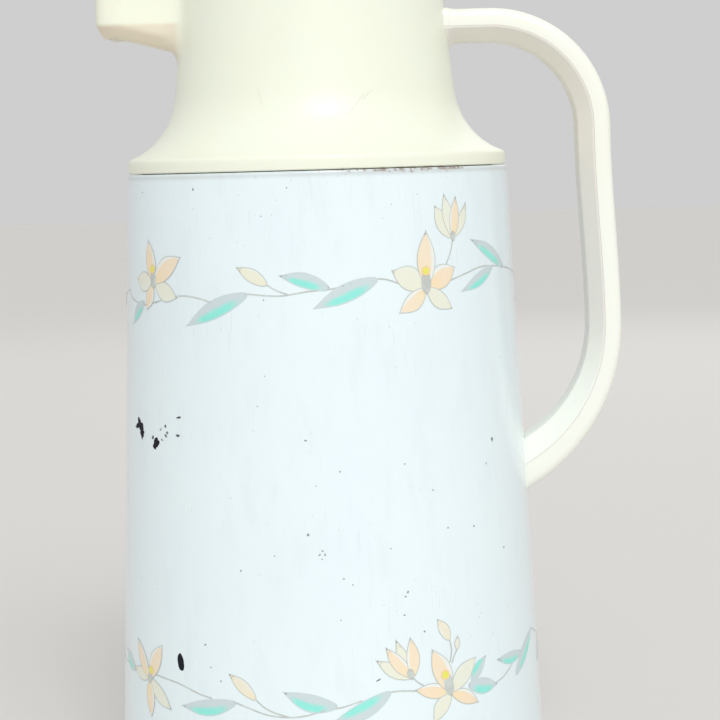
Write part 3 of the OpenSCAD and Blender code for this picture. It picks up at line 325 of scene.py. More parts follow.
def sleeve_enamel(name):
    """Baked enamel on steel: cool mottling, upright scratches, chips and rust at the seam."""
    f = Finish(name)
    tone = tuple(colours().sleeve)
    seam = sizes().seam_height
    clouds = f.mask(f.noise(22.0, 5.0, 0.6, 20.0), 0.3, 0.8)
    base = f.mix(f.sum("MULTIPLY", clouds, 0.5), tone, tinted(tone, 0.955, 0.955, 0.985))
    # long upright scratches, where the sleeve has been wiped and knocked
    scratch = f.noise(1.0, 3.0, 0.55, 21.0, f.stretched((1500.0, 1500.0, 22.0)))
    patch = f.mask(f.noise(26.0, 3.0, 0.5, 22.0), 0.44, 0.64)
    lines = f.sum("MULTIPLY", f.mask(scratch, 0.6, 0.7), patch)
    base = f.mix(f.sum("MULTIPLY", lines, 0.32), base, tinted(tone, 0.72, 0.71, 0.74))
    smear = f.noise(1.0, 4.0, 0.6, 29.0, f.stretched((120.0, 120.0, 34.0)))
    base = f.mix(f.sum("MULTIPLY", f.mask(smear, 0.48, 0.72), 0.38), base,
                 tinted(tone, 0.92, 0.915, 0.925))
    # scattered pin holes, and grey specks where dirt has stayed
    gate = f.mask(f.noise(45.0, 2.0, 0.5, 23.0), 0.5, 0.56)
    holes = f.sum("MULTIPLY", f.mask(f.cells(150.0), 0.055, 0.03), gate)
    specks = f.sum("MULTIPLY", f.mask(f.cells(240.0), 0.1, 0.05), patch)
    base = f.mix(f.sum("MULTIPLY", specks, 0.35), base, darker(tone, 0.45))
    # the rolled lip has lost its enamel in places and rusts there, most of all at one place
    lip = f.mask(f.axis("Z"), seam - 0.0012, seam - 0.0006)
    place = f.near(round_pot(27.0, seam), 0.026, 0.004, 30.0)
    place = f.sum("MAXIMUM", place, f.sum("MULTIPLY", f.near(round_pot(200.0, seam), 0.03,
                                                             0.006, 31.0), 0.8))
    often = f.between(place, 0.16, 0.0)
    worn = f.mask(f.sum("SUBTRACT", f.noise(430.0, 4.0, 0.6, 24.0), often), 0.46, 0.58)
    rust = f.sum("MULTIPLY", lip, worn)
    creep = f.mask(f.axis("Z"), seam - 0.0026, seam - 0.0004)
    creep = f.sum("MULTIPLY", creep, f.mask(f.noise(480.0, 4.0, 0.6, 25.0), 0.56, 0.68))
    rust = f.sum("MAXIMUM", rust, f.sum("MULTIPLY", creep, place))
    rust_stain_and_spout_shade = f.sum("MULTIPLY", f.mask(f.axis("Z"), seam - 0.0032, seam - 0.0008),
                  f.between(f.noise(30.0, 3.0, 0.5, 32.0), 0.04, 0.3))
    base = f.mix(rust_stain_and_spout_shade, base, tuple(colours().rust))
    # wear where the sleeve meets the base
    foot = f.mask(f.axis("Z"), sizes().sleeve_foot + 0.004, sizes().sleeve_foot)
    foot = f.sum("MULTIPLY", foot, f.mask(f.noise(160.0, 5.0, 0.7, 26.0), 0.58, 0.7))
    holes = f.sum("MULTIPLY", holes, 0.6)
    dark = f.sum("MAXIMUM", holes, foot)
    base = f.mix(dark, base, tuple(colours().chip))
    base = f.mix(f.sum("MULTIPLY", rust, 0.7), base, tuple(colours().rust))
    hurt = f.sum("MAXIMUM", dark, rust)
    rough = f.between(f.noise(60.0, 4.0, 0.6, 27.0), 0.16, 0.27)
    rough = f.sum("ADD", rough, f.sum("MULTIPLY", hurt, 0.4))
    wave = f.sum("MULTIPLY", f.noise(70.0, 2.0, 0.4, 28.0), 0.5)
    height = f.sum("SUBTRACT", f.sum("SUBTRACT", wave, f.sum("MULTIPLY", lines, 0.12)), hurt)
    return f.coat(base, rough, height, 0.00012, Specular_IOR_Level=0.42, Coat_Weight=0.4,
                  Coat_Roughness=0.12)


# ---------------------------------------------------------------- shaping

ROUND = 144              # faces round a turned piece
FINE_ROUND = 180         # faces round the widest turned pieces
WELD = 0.0005            # corners nearer than this, in mm, become one


def softened(corners, cuts=5):
    """Outline through corners (a, b, rounding) with each corner rounded by an arc."""
    made = []
    count = len(corners)
    for k, (a, b, rounding) in enumerate(corners):
        p = Vector((a, b))
        if rounding <= 0:
            made.append((a, b))
            continue
        before = Vector(corners[k - 1][:2]) - p
        after = Vector(corners[(k + 1) % count][:2]) - p
        half = before.angle(after) / 2
        run = min(rounding / math.tan(half), before.length * 0.48, after.length * 0.48)
        radius = run * math.tan(half)
        u, v = before.normalized(), after.normalized()
        centre = p + (u + v).normalized() * (radius / math.sin(half))
        start, end = p + u * run - centre, p + v * run - centre
        turn = start.angle_signed(end)
        for i in range(cuts + 1):
            # mathutils turns clockwise for a positive signed angle
            spoke = Matrix.Rotation(-turn * i / cuts, 2) @ start
            made.append(tuple(centre + spoke))
    return made


def arc(centre, radius, start, end, cuts):
    """Points (a, b) on an arc between two angles in degrees."""
    return [(centre[0] + radius * math.cos(math.radians(start + (end - start) * i / cuts)),
             centre[1] + radius * math.sin(math.radians(start + (end - start) * i / cuts)))
            for i in range(cuts + 1)]


def spun(bm, outline, steps, shut=True):
    """Spins an outline (radius, height) once round the pot's axis."""
    verts = [bm.verts.new((r, 0.0, z)) for r, z in outline]
    edges = [bm.edges.new(pair) for pair in zip(verts, verts[1:])]
    if shut:
        edges.append(bm.edges.new((verts[-1], verts[0])))
    bmesh.ops.spin(bm, geom=verts + edges, cent=(0, 0, 0), axis=(0, 0, 1), dvec=(0, 0, 0),
                   angle=math.tau, steps=steps, use_merge=True, use_normal_flip=False,
                   use_duplicate=False)


def turned(bm, outline, steps=ROUND, shut=True):
    """Closed skin from an outline (radius, height) that is turned round the pot's axis."""
    spun(bm, outline, steps, shut)
    bmesh.ops.remove_doubles(bm, verts=bm.verts, dist=WELD)
    bmesh.ops.recalc_face_normals(bm, faces=bm.faces)


def only(kind, geom):
    """The verts, edges or faces of a list that mixes them."""
    return [g for g in geom if isinstance(g, kind)]


def edges_of(faces):
    return list({e for face in faces for e in face.edges})


def soften_edges(bm, edges, width, cuts=3):
    bmesh.ops.bevel(bm, geom=edges, offset=width, offset_type="OFFSET", segments=cuts,
                    profile=0.5, affect="EDGES", clamp_overlap=True, material=-1)


def block(bm, low, high, soft=0.4, cuts=3):
    """Box between two corners, with all its edges rounded."""
    low, high = Vector(low), Vector(high)
    verts = bmesh.ops.create_cube(bm, size=1.0)["verts"]
    bmesh.ops.scale(bm, vec=high - low, verts=verts)
    bmesh.ops.translate(bm, vec=(low + high) / 2, verts=verts)
    soften_edges(bm, list({e for v in verts for e in v.link_edges}), soft, cuts)


def slab(bm, outline, start, end, soft=0.4, cuts=3, along="Y"):
    """Outline (a, b) pushed along Y (a is x, b is z) or Z (a is x, b is y), edges rounded."""
    def put(a, b, c):
        return (a, c, b) if along == "Y" else (a, b, c)
    face = bm.faces.new([bm.verts.new(put(a, b, start)) for a, b in outline])
    pushed = bmesh.ops.extrude_face_region(bm, geom=[face], use_keep_orig=True)["geom"]
    bmesh.ops.translate(bm, vec=put(0.0, 0.0, end - start),
                        verts=only(bmesh.types.BMVert, pushed))
    caps = [face] + only(bmesh.types.BMFace, pushed)
    soften_edges(bm, edges_of(caps), soft, cuts)


def loop_of(bm, points):
    verts = [bm.verts.new(p) for p in points]
    return [bm.edges.new(pair) for pair in zip(verts, verts[1:] + verts[:1])]


def skinned(bm, rings):
    """Skin over rings of points, one after the other, closed at both ends."""
    loops = [loop_of(bm, ring) for ring in rings]
    for first, second in zip(loops, loops[1:]):
        bmesh.ops.bridge_loops(bm, edges=first + second)
    for end in (loops[0], loops[-1]):
        bmesh.ops.contextual_create(bm, geom=end)
    bmesh.ops.recalc_face_normals(bm, faces=bm.faces)


def placed(name, data):
    """New object of the scene, from a mesh, light or camera."""
    made = bpy.data.objects.new(name, data)
    bpy.context.scene.collection.objects.link(made)
    return made


def add_piece(name, bm, finish, body, stands_for=(), crisp=35.0, subdivide=0):
    """Makes the bmesh, given in millimetres, a piece that rides on a body."""
    for face in bm.faces:
        face.smooth = True
    if not subdivide:
        for edge in bm.edges:
            if len(edge.link_faces) == 2 and edge.calc_face_angle(0.0) > math.radians(crisp):
                edge.smooth = False
    bmesh.ops.scale(bm, vec=(MM, MM, MM), verts=bm.verts)
    mesh = bpy.data.meshes.new(name)
    bm.to_mesh(mesh)
    bm.free()
    piece = placed(name, mesh)
    piece.data.materials.append(finish)
    if subdivide:
        smooth = piece.modifiers.new("Rounding", "SUBSURF")
        smooth.levels = smooth.render_levels = subdivide
    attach(piece, body)
    if stands_for:
        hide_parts(*stands_for)
    return piece


def shared(name, make):
    """The material of that name, made once."""
    return bpy.data.materials.get(name) or make(name)


# scratches on the neck: angle, radius, height, (half width, half length), tilt
SCRATCHES = ((16.4, 54.0, 275.5, (0.16, 5.8), 42.0), (21.0, 54.0, 278.5, (0.12, 3.0), 50.0),
             (-21.0, 53.5, 279.0, (0.12, 4.0), -18.0), (197.0, 53.0, 283.0, (0.16, 5.0), -35.0))


def ivory_plastic():
    # the ivory carries a painted shade on the bevel under the spout
    return shared("ivory_moulding",
                  lambda name: moulded_plastic(name, tuple(colours().shoulder),
                                               scratches=SCRATCHES, shade_under_spout=True))


def cream_plastic():
    return shared("cream_moulding",
                  lambda name: moulded_plastic(name, tuple(colours().handle), 0.27, 0.3))


def shaded_handle_plastic():
    """The handle's plastic with painted shade: a little darker and warmer above, the plain tone at
    the foot.
    """
    unshaded_tone = tuple(colours().handle)
    return shared("gripped_moulding",
                  lambda name: moulded_plastic(name, tinted(unshaded_tone, 0.9, 0.85, 0.87), 0.3, 0.3,
                                               foot=unshaded_tone))


# ---------------------------------------------------------------- the pieces

class PUMPPOT_OT_shoulder(bpy.types.Operator):
    """Makes the shoulder with its neck, spout and hinge ears, and the spout's cover plate"""

    bl_idname = "pump_pot.shoulder"
    bl_label = "Shoulder and spout"

    STEPS = 66               # columns of the cage round the neck
    HALF = 3                 # columns of the spout on each side of its middle
    ROWS = (0.0, 0.08, 0.25, 0.42, 0.58, 0.74, 1.0)    # rows down the spout's side
    BEVEL = (4.2, 4.6)       # width and height of the bevel along the spout's underside

    def execute(self, context):
        s = sizes()
        self.seam, self.rim = s.seam_height / MM, s.rim_height / MM
        self.reach, self.width = s.spout_reach / MM, s.spout_width / MM
        self.top = self.rim - 2.0
        self.flat = self.top - s.spout_height / MM
        self.flat_end = self.reach - 8.5
        bm = bmesh.new()
        self.neck(bm)
        self.spout(bm)
        self.ears(bm)
        add_piece("shoulder_shell", bm, ivory_plastic(), "pot",
                  ("shoulder",), subdivide=2)
        self.cover_plate()
        return {"FINISHED"}

    def under(self, x):
        """Height of the spout's underside at a distance from the axis."""
        return self.flat - max(self.flat_end - x, 0.0) * math.tan(math.radians(14.8))

    def neck(self, bm):
        """Cage of neck, flare and rim; crease says how sharp each row's edge stays."""
        seam, rim, root = self.seam, self.rim, self.under(51.4)
        outer = [(49.35, rim, 0.3), (50.0, rim - 0.9, 0.3)]
        widths = (50.05, 50.15, 50.4, 50.7, 51.0, 51.3, 51.8)
        outer += [(r, self.top - (self.top - root) * t, 0.0)
                  for r, t in zip(widths, self.ROWS)]
        outer += [(52.2, seam + 41, 0), (52.75, seam + 36.5, 0), (53.3, seam + 30.6, 0),
                  (54.15, seam + 25.3, 0), (55.75, seam + 20.6, 0), (58.25, seam + 16, 0),
                  (61.8, seam + 11.7, 0), (65.4, seam + 8.75, 0), (69.0, seam + 6.6, 0),
                  (71.8, seam + 5.6, 0.2), (72.5, seam + 4.8, 0.2), (72.5, seam + 1.5, 0),
                  (72.5, seam + 0.65, 0.4), (72.1, seam + 0.3, 0.6)]
        inner = [(67.45, seam + 0.3, 1), (67.45, seam - 12, 1), (65.05, seam - 12, 1),
                 (65.05, seam - 1, 0), (63.6, seam + 5.5, 0), (60.2, seam + 9.6, 0),
                 (56.4, seam + 14, 0), (53.6, seam + 18.8, 0), (51.6, seam + 24.2, 0),
                 (50.4, seam + 30.6, 0), (49.4, seam + 41, 0), (48.5, seam + 54, 0),
                 (47.9, rim - 8.8, 1), (46.15, rim - 8.8, 1), (46.15, rim - 6.6, 1),
                 (47.7, rim - 6.6, 1), (47.7, rim - 0.5, 0.3), (48.1, rim, 0.3)]
        cage = outer + inner
        # a subdivided ring of straight spans draws in by this much
        draw_in = (2 + math.cos(math.tau / self.STEPS)) / 3
        spun(bm, [(-r / draw_in, z) for r, z, _ in cage], self.STEPS)
        bmesh.ops.recalc_face_normals(bm, faces=bm.faces)
        crease = bm.edges.layers.float.new("crease_edge")
        keep = {(round(r / draw_in, 2), round(z, 2)): c for r, z, c in cage if c}
        for edge in bm.edges:
            a, b = (v.co for v in edge.verts)
            if abs(a.z - b.z) < 0.001 and abs(a.xy.length - b.xy.length) < 0.001:
                edge[crease] = keep.get((round(a.xy.length, 2), round(a.z, 2)), 0.0)
        self.root_z = root

    def spout(self, bm):
        """Draws the patch of the neck behind the spout out to the spout's front."""
        crease = bm.edges.layers.float["crease_edge"]
        column = math.tau / self.STEPS
        place = {}
        for v in bm.verts:
            turn = math.atan2(v.co.y, -v.co.x) / column
            if abs(turn) < self.HALF + 0.2 and v.co.xy.length > 49.9:
                share = (self.top - v.co.z) / (self.top - self.root_z)
                row = min(range(len(self.ROWS)), key=lambda k: abs(self.ROWS[k] - share))
                if abs(self.ROWS[row] - share) < 0.004:
                    place[v] = (row, round(turn))
        faces = [f for f in bm.faces if all(v in place for v in f.verts)]
        # the hollow corner where the spout leaves the neck
        last = len(self.ROWS) - 1
        for v, (row, col) in place.items():
            if row == last:
                v.co += Vector((-0.9, 0.0, -2.0))
            elif abs(col) == self.HALF and row > 0:
                v.co += Vector((-0.5, math.copysign(0.7, col), 0.0))
        half = self.width / 2
        rails = {}
        for x in (54.4, 59.5, 65.0, 70.0, self.flat_end, self.reach):
            old = {tuple(round(c, 3) for c in v.co): at for v, at in place.items()}
            pushed = bmesh.ops.extrude_face_region(bm, geom=faces + edges_of(faces))["geom"]
            faces = only(bmesh.types.BMFace, pushed)
            place = {v: old[tuple(round(c, 3) for c in v.co)]
                     for v in only(bmesh.types.BMVert, pushed)}
            front = x == self.reach
            for v, (row, col) in place.items():
                v.co = self.cage_point(x, row, col, half, front)
                if row >= last - 1 and (abs(col) == self.HALF or front):
                    rails[v] = row, 0 if front else col
        bmesh.ops.recalc_face_normals(bm, faces=bm.faces)
        # the bevel below keeps its two edges
        for edge in bm.edges:
            a, b = (rails.get(v) for v in edge.verts)
            if a and b and a[0] == b[0]:
                edge[crease] = 0.5
        # crisp top edge
        tops = []
        for edge in bm.edges:
            a, b = (v.co for v in edge.verts)
            high = abs(a.z - self.top) < 0.01 and abs(b.z - self.top) < 0.01
            outside = [f for f in edge.link_faces if f.normal.z < 0.5]
            if high and max(a.x, b.x) < -50.2 and len(outside) == 1:
                edge[crease] = 0.75
        for face in bm.faces:
            c = face.calc_center_median()
            if face.normal.z > 0.9 and abs(c.z - self.top) < 0.01 and c.x < -50.2:
                tops.append(face)
        # step that the cover plate lies in
        bmesh.ops.inset_region(bm, faces=tops, thickness=1.2, use_even_offset=True,
                               use_boundary=True)
        rim = {e for f in tops for e in f.edges if sum(g in tops for g in e.link_faces) == 1}
        for edge in rim:
            edge[crease] = 0.9
        sunk = bmesh.ops.extrude_face_region(bm, geom=tops + edges_of(tops))["geom"]
        bmesh.ops.translate(bm, vec=(0, 0, -1.9), verts=only(bmesh.types.BMVert, sunk))
        floor_faces = set(only(bmesh.types.BMFace, sunk))
        for face in floor_faces:
            for edge in face.edges:
                if sum(g in floor_faces for g in edge.link_faces) == 1:
                    edge[crease] = 0.9

    def cage_point(self, x, row, col, half, front):
        """Place of one cage corner of the spout, with the lower edges drawn in."""
        share = self.ROWS[row]
        last = row == len(self.ROWS) - 1
        y = half * col / self.HALF
        foot = self.under(x)
        z = self.top - (self.top - foot) * share
        if row == len(self.ROWS) - 2:
            z = foot + self.BEVEL[1]
        if front:
            back, out = {0: (0.0, 0.0), 1: (0.0, 4.4), 2: (0.35, 8.6), 3: (2.6, 12.0)}[abs(col)]
            x, y = self.reach - back, math.copysign(out, col) if col else 0.0
            if last:
                x -= 2.6
        if last:
            y *= (half - self.BEVEL[0]) / half
        return Vector((-x, y, z))

    def ears(self, bm):
        """The two ears that carry the hinge's pin, behind the neck."""
        pin, rim = Vector((55.5, self.rim + 2.5)), self.rim
        eye = arc(pin, 4.4, -38, 180, 14)
        outline = [(46.6, rim - 8.6), (51.5, rim - 8.6)] + eye + [(51.1, rim - 0.6),
                                                                  (46.6, rim - 0.6)]
        crease = bm.edges.layers.float["crease_edge"]
        before = set(bm.edges)
        for y in (-16.0, 12.0):
            slab(bm, outline, y, y + 4.0, 0.5, 2)
        for edge in set(bm.edges) - before:
            edge[crease] = 0.6

    def cover_plate(self):
        """Plate that closes the spout's channel from above."""
        half, front = self.width / 2 - 1.5, self.reach - 1.5
        corner = 7.0
        outline = (arc((-front + corner, half - corner), corner, 90, 180, 8)
                   + arc((-front + corner, corner - half), corner, 180, 270, 8)
                   + [(-53.0 * math.cos(a), 53.0 * math.sin(a))
                      for a in (math.asin(half / 53.0) * k / 4 for k in range(-4, 5))])
        bm = bmesh.new()
        slab(bm, outline, self.top - 1.8, self.top, 0.35, 3, along="Z")
        bmesh.ops.recalc_face_normals(bm, faces=bm.faces)
        add_piece("spout_cover_plate", bm, ivory_plastic(), "pot",
                  ("spout_cap",))


class PUMPPOT_OT_sleeve(bpy.types.Operator):
    """Makes the enamelled sleeve with its rolled lip, and the base ring"""

    bl_idname = "pump_pot.sleeve"
    bl_label = "Sleeve and base ring"

    def execute(self, context):
        s = sizes()
        seam, foot = s.seam_height / MM, s.sleeve_foot / MM
        top_r, foot_r = s.sleeve_top_radius / MM, s.sleeve_foot_radius / MM
        slope = (foot_r - top_r) / (seam - foot)

        def wide(z):
            return top_r + (seam - z) * slope

        bm = bmesh.new()
        levels = [foot + (seam - 2.2 - foot) * k / 12 for k in range(13)]
        outline = [(wide(z), z) for z in levels]
        # rolled lip: a low bead, turned over in to the flange
        outline += [(wide(seam - 1.7), seam - 1.7), (top_r + 0.22, seam - 1.2),
                    (top_r + 0.28, seam - 0.75), (top_r + 0.12, seam - 0.3),
                    (top_r - 0.2, seam - 0.05), (top_r - 0.6, seam), (top_r - 5.4, seam),
                    (top_r - 5.4, seam - 0.7), (top_r - 1.2, seam - 0.7),
                    (top_r - 0.7, seam - 2.2)]
        outline += [(wide(z) - 0.7, z) for z in reversed(levels)]
        turned(bm, outline, FINE_ROUND)
        add_piece("enamel_sleeve", bm, shared("baked_enamel", sleeve_enamel), "pot",
                  ("body_sleeve",))

        low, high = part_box("base_ring")
        out, under, top = high.x / MM, low.z / MM, foot - 0.15
        bm = bmesh.new()
        outline = softened([
            (72.4, under, 0.3), (out - 1.0, under, 0.9), (out, under + 1.6, 0.9),
            (out, top - 1.4, 0.5), (out - 0.35, top, 0.35), (wide(top) - 0.9, top, 0),
            (wide(18) - 0.9, foot + 8.0, 0), (wide(18) - 2.9, foot + 8.0, 0),
            (wide(18) - 2.9, 4.4, 0), (73.4, 4.4, 0), (73.4, foot + 1.0, 0),
            (69.8, foot + 1.0, 0), (69.8, 5.85, 0), (72.4, 5.85, 0)], 4)
        turned(bm, outline, FINE_ROUND)
        add_piece("foot_ring", bm, ivory_plastic(), "pot", ("base_ring",))
        return {"FINISHED"}


# ---------------------------------------------------------------- printed bands

# Each band is drawn on the unrolled sleeve, as (degrees right of the front, height in mm).
# A blade is (foot, tip, width, bend, tone): width and bend in mm; a petal's tone runs from
# cream at 0 to peach at 1, and a leaf's tone is the side that its green half lies on.
UPPER_BAND = {
    "leaves": (
        ((-19.6, 209.1), (-40.0, 197.2), 7.0, -0.5, 1),
        ((3.2, 210.2), (-11.0, 215.4), 5.6, -0.8, 1),
        ((16.5, 213.3), (-1.8, 203.3), 6.8, -0.3, 1), ((67.2, 213.9), (48.1, 225.6), 5.6, -0.6, 1),
        ((59.3, 215.0), (43.2, 206.7), 5.0, 0.4, 1),
        ((-59.8, 205.3), (-69.2, 196.2), 5.4, -0.8, 1),
        ((97.0, 206.8), (84.5, 199.4), 5.6, 1.2, 1)),
    "petals": (
        ((41.2, 226.4), (34.9, 238.5), 6.4, 0.8, 0.1),
        ((41.2, 226.4), (47.2, 239.2), 4.2, -1.0, 0.1),
        ((41.2, 226.4), (38.4, 242.6), 5.4, 0.2, 0.05),
        ((41.2, 226.4), (43.0, 241.6), 4.8, 0.0, 0.9),
        ((29.9, 209.3), (20.3, 215.9), 8.8, -0.6, 0.1),
        ((32.0, 209.3), (41.4, 215.9), 8.6, 0.6, 1.0),
        ((30.6, 208.8), (22.1, 200.6), 6.6, 0.5, 0.8),
        ((31.2, 208.8), (39.6, 200.9), 6.4, -0.5, 0.1),
        ((31.0, 209.6), (31.6, 229.8), 8.0, 0.0, 0.8),
        ((-55.6, 212.6), (-65.0, 213.6), 7.6, 0.3, 0.1),
        ((-53.2, 212.2), (-43.3, 207.3), 7.0, -0.6, 0.1),
        ((-54.8, 211.4), (-58.2, 202.4), 5.8, 0.0, 1.0),
        ((-54.6, 212.8), (-57.6, 228.4), 6.8, 0.0, 1.0),
        ((-53.9, 212.8), (-41.9, 222.2), 8.0, 0.8, 0.9)),
    "buds": (((-14.0, 212.1), (-23.1, 218.6), 5.0, -0.3, 0.2),
             ((92.4, 207.2), (88.6, 216.4), 4.8, 0.3, 0.6)),
    "stems": (
        ((-73.8, 209.0), (-71.0, 206.3), (-63.2, 204.4), (-59.0, 204.2), (-52.7, 205.6)),
        ((-52.7, 205.6), (-46.9, 207.3), (-40.7, 208.2), (-35.2, 207.4), (-31.1, 206.0)),
        ((-20.6, 209.2), (-15.0, 208.5), (-9.8, 208.3), (-3.0, 209.6), (3.8, 210.3), (9.0, 212.0)),
        ((-14.0, 212.1), (-11.6, 210.2), (-8.0, 208.5)),
        ((14.5, 213.2), (18.7, 212.9), (24.0, 210.4)),
        ((41.2, 226.6), (39.9, 221.2), (37.4, 215.6)),
        ((38.8, 211.0), (46.2, 213.4), (53.9, 215.2), (67.1, 214.1), (80.3, 211.2), (88.0, 208.0),
         (97.0, 206.8), (103.0, 208.2), (106.4, 209.0))),
    "hearts": (((30.9, 215.2), 1.75), ((-54.9, 217.6), 1.8)),
    "dabs": (((30.9, 216.0), (30.9, 206.9), 4.2), ((-55.0, 218.6), (-54.2, 210.6), 3.8),
             ((41.2, 225.2), (41.1, 228.8), 2.6)),
}
LOWER_BAND = {
    "leaves": (
        ((-24.6, 62.3), (-42.5, 58.4), 6.2, 1.2, 1), ((1.8, 61.6), (-12.2, 67.2), 6.6, 1.2, 1),
        ((15.6, 65.8), (-0.2, 55.6), 6.4, 1.2, -1), ((39.4, 64.4), (45.3, 73.0), 4.8, 0.5, 1),
        ((38.1, 63.6), (49.4, 61.2), 6.2, -0.4, -1), ((62.7, 69.2), (49.4, 70.0), 4.8, 0.8, 1),
        ((58.4, 61.4), (73.0, 75.6), 6.0, 0.6, -1), ((-65.5, 65.6), (-75.9, 71.2), 5.6, 0.5, 1),
        ((88.0, 68.2), (78.4, 60.2), 5.6, 1.0, 1)),
    "petals": (
        ((21.6, 69.9), (11.7, 77.6), 5.2, 0.6, 0.1), ((21.6, 69.9), (17.2, 84.4), 4.6, 0.3, 0.1),
        ((21.6, 69.9), (14.4, 82.0), 5.2, 0.5, 0.9), ((21.6, 69.9), (21.2, 84.8), 5.4, -0.6, 0.9),
        ((32.2, 62.6), (21.8, 65.2), 5.8, -0.2, 1.0), ((32.6, 62.2), (41.6, 56.4), 5.6, 0.5, 1.0),
        ((32.3, 61.9), (26.9, 52.4), 6.0, -0.7, 0.1), ((32.8, 62.8), (41.4, 73.4), 7.0, 0.5, 0.1),
        ((32.2, 63.0), (27.2, 79.4), 8.0, -0.4, 0.85),
        ((-57.1, 64.9), (-66.2, 66.6), 5.0, 0.0, 0.1),
        ((-55.8, 64.9), (-46.1, 55.6), 5.8, -0.4, 0.1),
        ((-56.5, 64.6), (-55.3, 50.6), 6.0, 0.0, 0.9),
        ((-56.8, 65.2), (-64.2, 78.6), 6.0, 0.3, 0.9),
        ((-56.2, 65.4), (-50.2, 79.0), 7.4, 0.5, 0.9)),
    "buds": (((-19.2, 63.8), (-27.0, 72.7), 4.8, -0.3, 0.45),
             ((32.8, 81.4), (29.2, 89.9), 4.6, -0.3, 0.4),
             ((35.0, 77.4), (35.4, 82.6), 2.6, 0.0, 0.1),
             ((94.2, 66.2), (90.0, 75.2), 4.8, 0.3, 0.4)),
    "stems": (
        ((-53.4, 67.2), (-43.8, 66.3), (-36.0, 63.8), (-32.0, 62.9)),
        ((-25.6, 62.6), (-21.5, 60.8), (-16.2, 58.6), (-11.1, 58.0), (-6.4, 58.6), (-1.0, 60.6),
         (3.0, 61.4), (8.0, 63.4)),
        ((-19.2, 63.8), (-17.4, 61.6), (-14.6, 59.6), (-10.6, 58.1)),
        ((14.0, 65.4), (17.6, 65.7), (23.4, 64.8)), ((21.6, 70.1), (22.6, 68.3), (24.8, 66.2)),
        ((32.8, 81.6), (33.3, 77.7), (32.6, 73.4)), ((35.0, 77.6), (34.0, 75.4), (33.2, 73.0)),
        ((48.4, 61.6), (52.4, 63.0), (56.4, 66.0), (59.4, 69.2)),
        ((72.4, 75.2), (78.0, 72.4), (88.0, 68.2), (98.0, 66.0), (108.0, 66.4), (114.6, 65.6))),
    "hearts": (((30.9, 69.2), 1.9), ((-55.6, 68.4), 1.7)),
    "dabs": (((31.4, 70.4), (32.3, 61.4), 4.2), ((-55.8, 68.6), (-56.4, 63.2), 3.4),
             ((21.4, 69.2), (20.6, 73.2), 2.8)),
}


def printed(ink, base, seed):
    """Ink on the enamel: its colour, and a faint grain in its gloss and its surface."""
    return ink.coat(base, ink.between(ink.noise(80.0, 3.0, 0.5, seed), 0.19, 0.27),
                    ink.noise(300.0, 2.0, 0.5, seed + 1.0), 0.00002, Coat_Weight=0.3,
                    Coat_Roughness=0.12)


def printed_petals():
    """Cream and peach petals inside thin grey outlines, paler along one edge."""
    f = Finish("printed_petals")
    c = colours()
    fill = f.mix(f.attribute("tone"), tuple(c.cream_petal), tuple(c.peach_petal))
    warm = f.sum("SUBTRACT", 1.0, f.mask(f.attribute("along"), 0.1, 0.5))
    warm = f.sum("MULTIPLY", warm, f.attribute("tone"))
    fill = f.mix(f.sum("MULTIPLY", warm, 0.4), fill, tinted(tuple(c.peach_petal), 1.0, 1.02, 0.78))
    gap = f.mask(f.attribute("side"), 0.5, 0.62)
    tip = f.mask(f.attribute("along"), 0.86, 0.94)
    gap = f.sum("MULTIPLY", f.sum("MAXIMUM", gap, tip), f.between(f.attribute("tone"), 0.15, 0.8))
    fill = f.mix(gap, fill, tuple(c.sleeve))
    worn = f.mask(f.noise(240.0, 4.0, 0.6, 50.0), 0.45, 0.8)
    fill = f.mix(f.sum("MULTIPLY", worn, 0.3), fill, tuple(c.sleeve))
    line = f.mask(f.attribute("rim"), 0.25, 0.6)
    base = f.mix(f.sum("MULTIPLY", line, 0.85), fill, tuple(c.print_line))
    return printed(f, base, 51.0)


def printed_leaves():
    """Leaves half pale grey and half green, one running softly into the other."""
    f = Finish("printed_leaves")
    c = colours()
    side = f.attribute("side")
    ragged = f.sum("ADD", side, f.between(f.noise(420.0, 3.0, 0.6, 53.0), -0.18, 0.18))
    green = f.sum("MULTIPLY", f.mask(ragged, -0.3, 0.3),
                  f.sum("SUBTRACT", 1.0, f.mask(side, 0.75, 0.98)))
    along = f.attribute("along")
    green = f.sum("MULTIPLY", green, f.mask(along, 0.08, 0.34))
    green = f.sum("MULTIPLY", green, f.sum("SUBTRACT", 1.0, f.mask(along, 0.68, 0.88)))
    leaf = f.mix(f.noise(170.0, 3.0, 0.5, 54.0), tuple(c.leaf_green),
                 darker(tuple(c.leaf_green), 0.88))
    base = f.mix(green, tuple(c.leaf_grey), leaf)
    worn = f.mask(f.noise(260.0, 4.0, 0.6, 55.0), 0.55, 0.85)
    base = f.mix(f.sum("MULTIPLY", worn, 0.35), base, tuple(c.sleeve))
    return printed(f, base, 56.0)


def printed_lines():
    """Thin grey stems and the grey dabs under the flowers' hearts."""
    f = Finish("printed_lines")
    c = colours()
    faint = f.mask(f.noise(230.0, 4.0, 0.6, 58.0), 0.35, 0.75)
    base = f.mix(f.sum("MULTIPLY", faint, 0.4), tuple(c.print_line), tuple(c.sleeve))
    return printed(f, base, 59.0)


def printed_hearts():
    """Yellow hearts of the flowers, orange towards their edge."""
    f = Finish("printed_hearts")
    c = colours()
    ring = f.mask(f.attribute("along"), 0.55, 0.85)
    base = f.mix(ring, tuple(c.heart), tinted(tuple(c.peach_petal), 1.0, 0.86, 0.6))
    base = f.mix(f.sum("MULTIPLY", f.noise(500.0, 3.0, 0.6, 61.0), 0.2), base, tuple(c.sleeve))
    return printed(f, base, 62.0)


FILM = 0.03              # thickness of a printed film or a chip, in mm


def lay(vert, angle, height, turn, lift):
    """Puts a corner of a film on the sleeve."""
    vert.co = round_pot(angle + turn, height * MM, lift * MM) / MM


def degree(height):
    """Width of one degree of the sleeve at a height, in mm."""
    return (round_pot(1.0, height * MM) - round_pot(0.0, height * MM)).length / MM


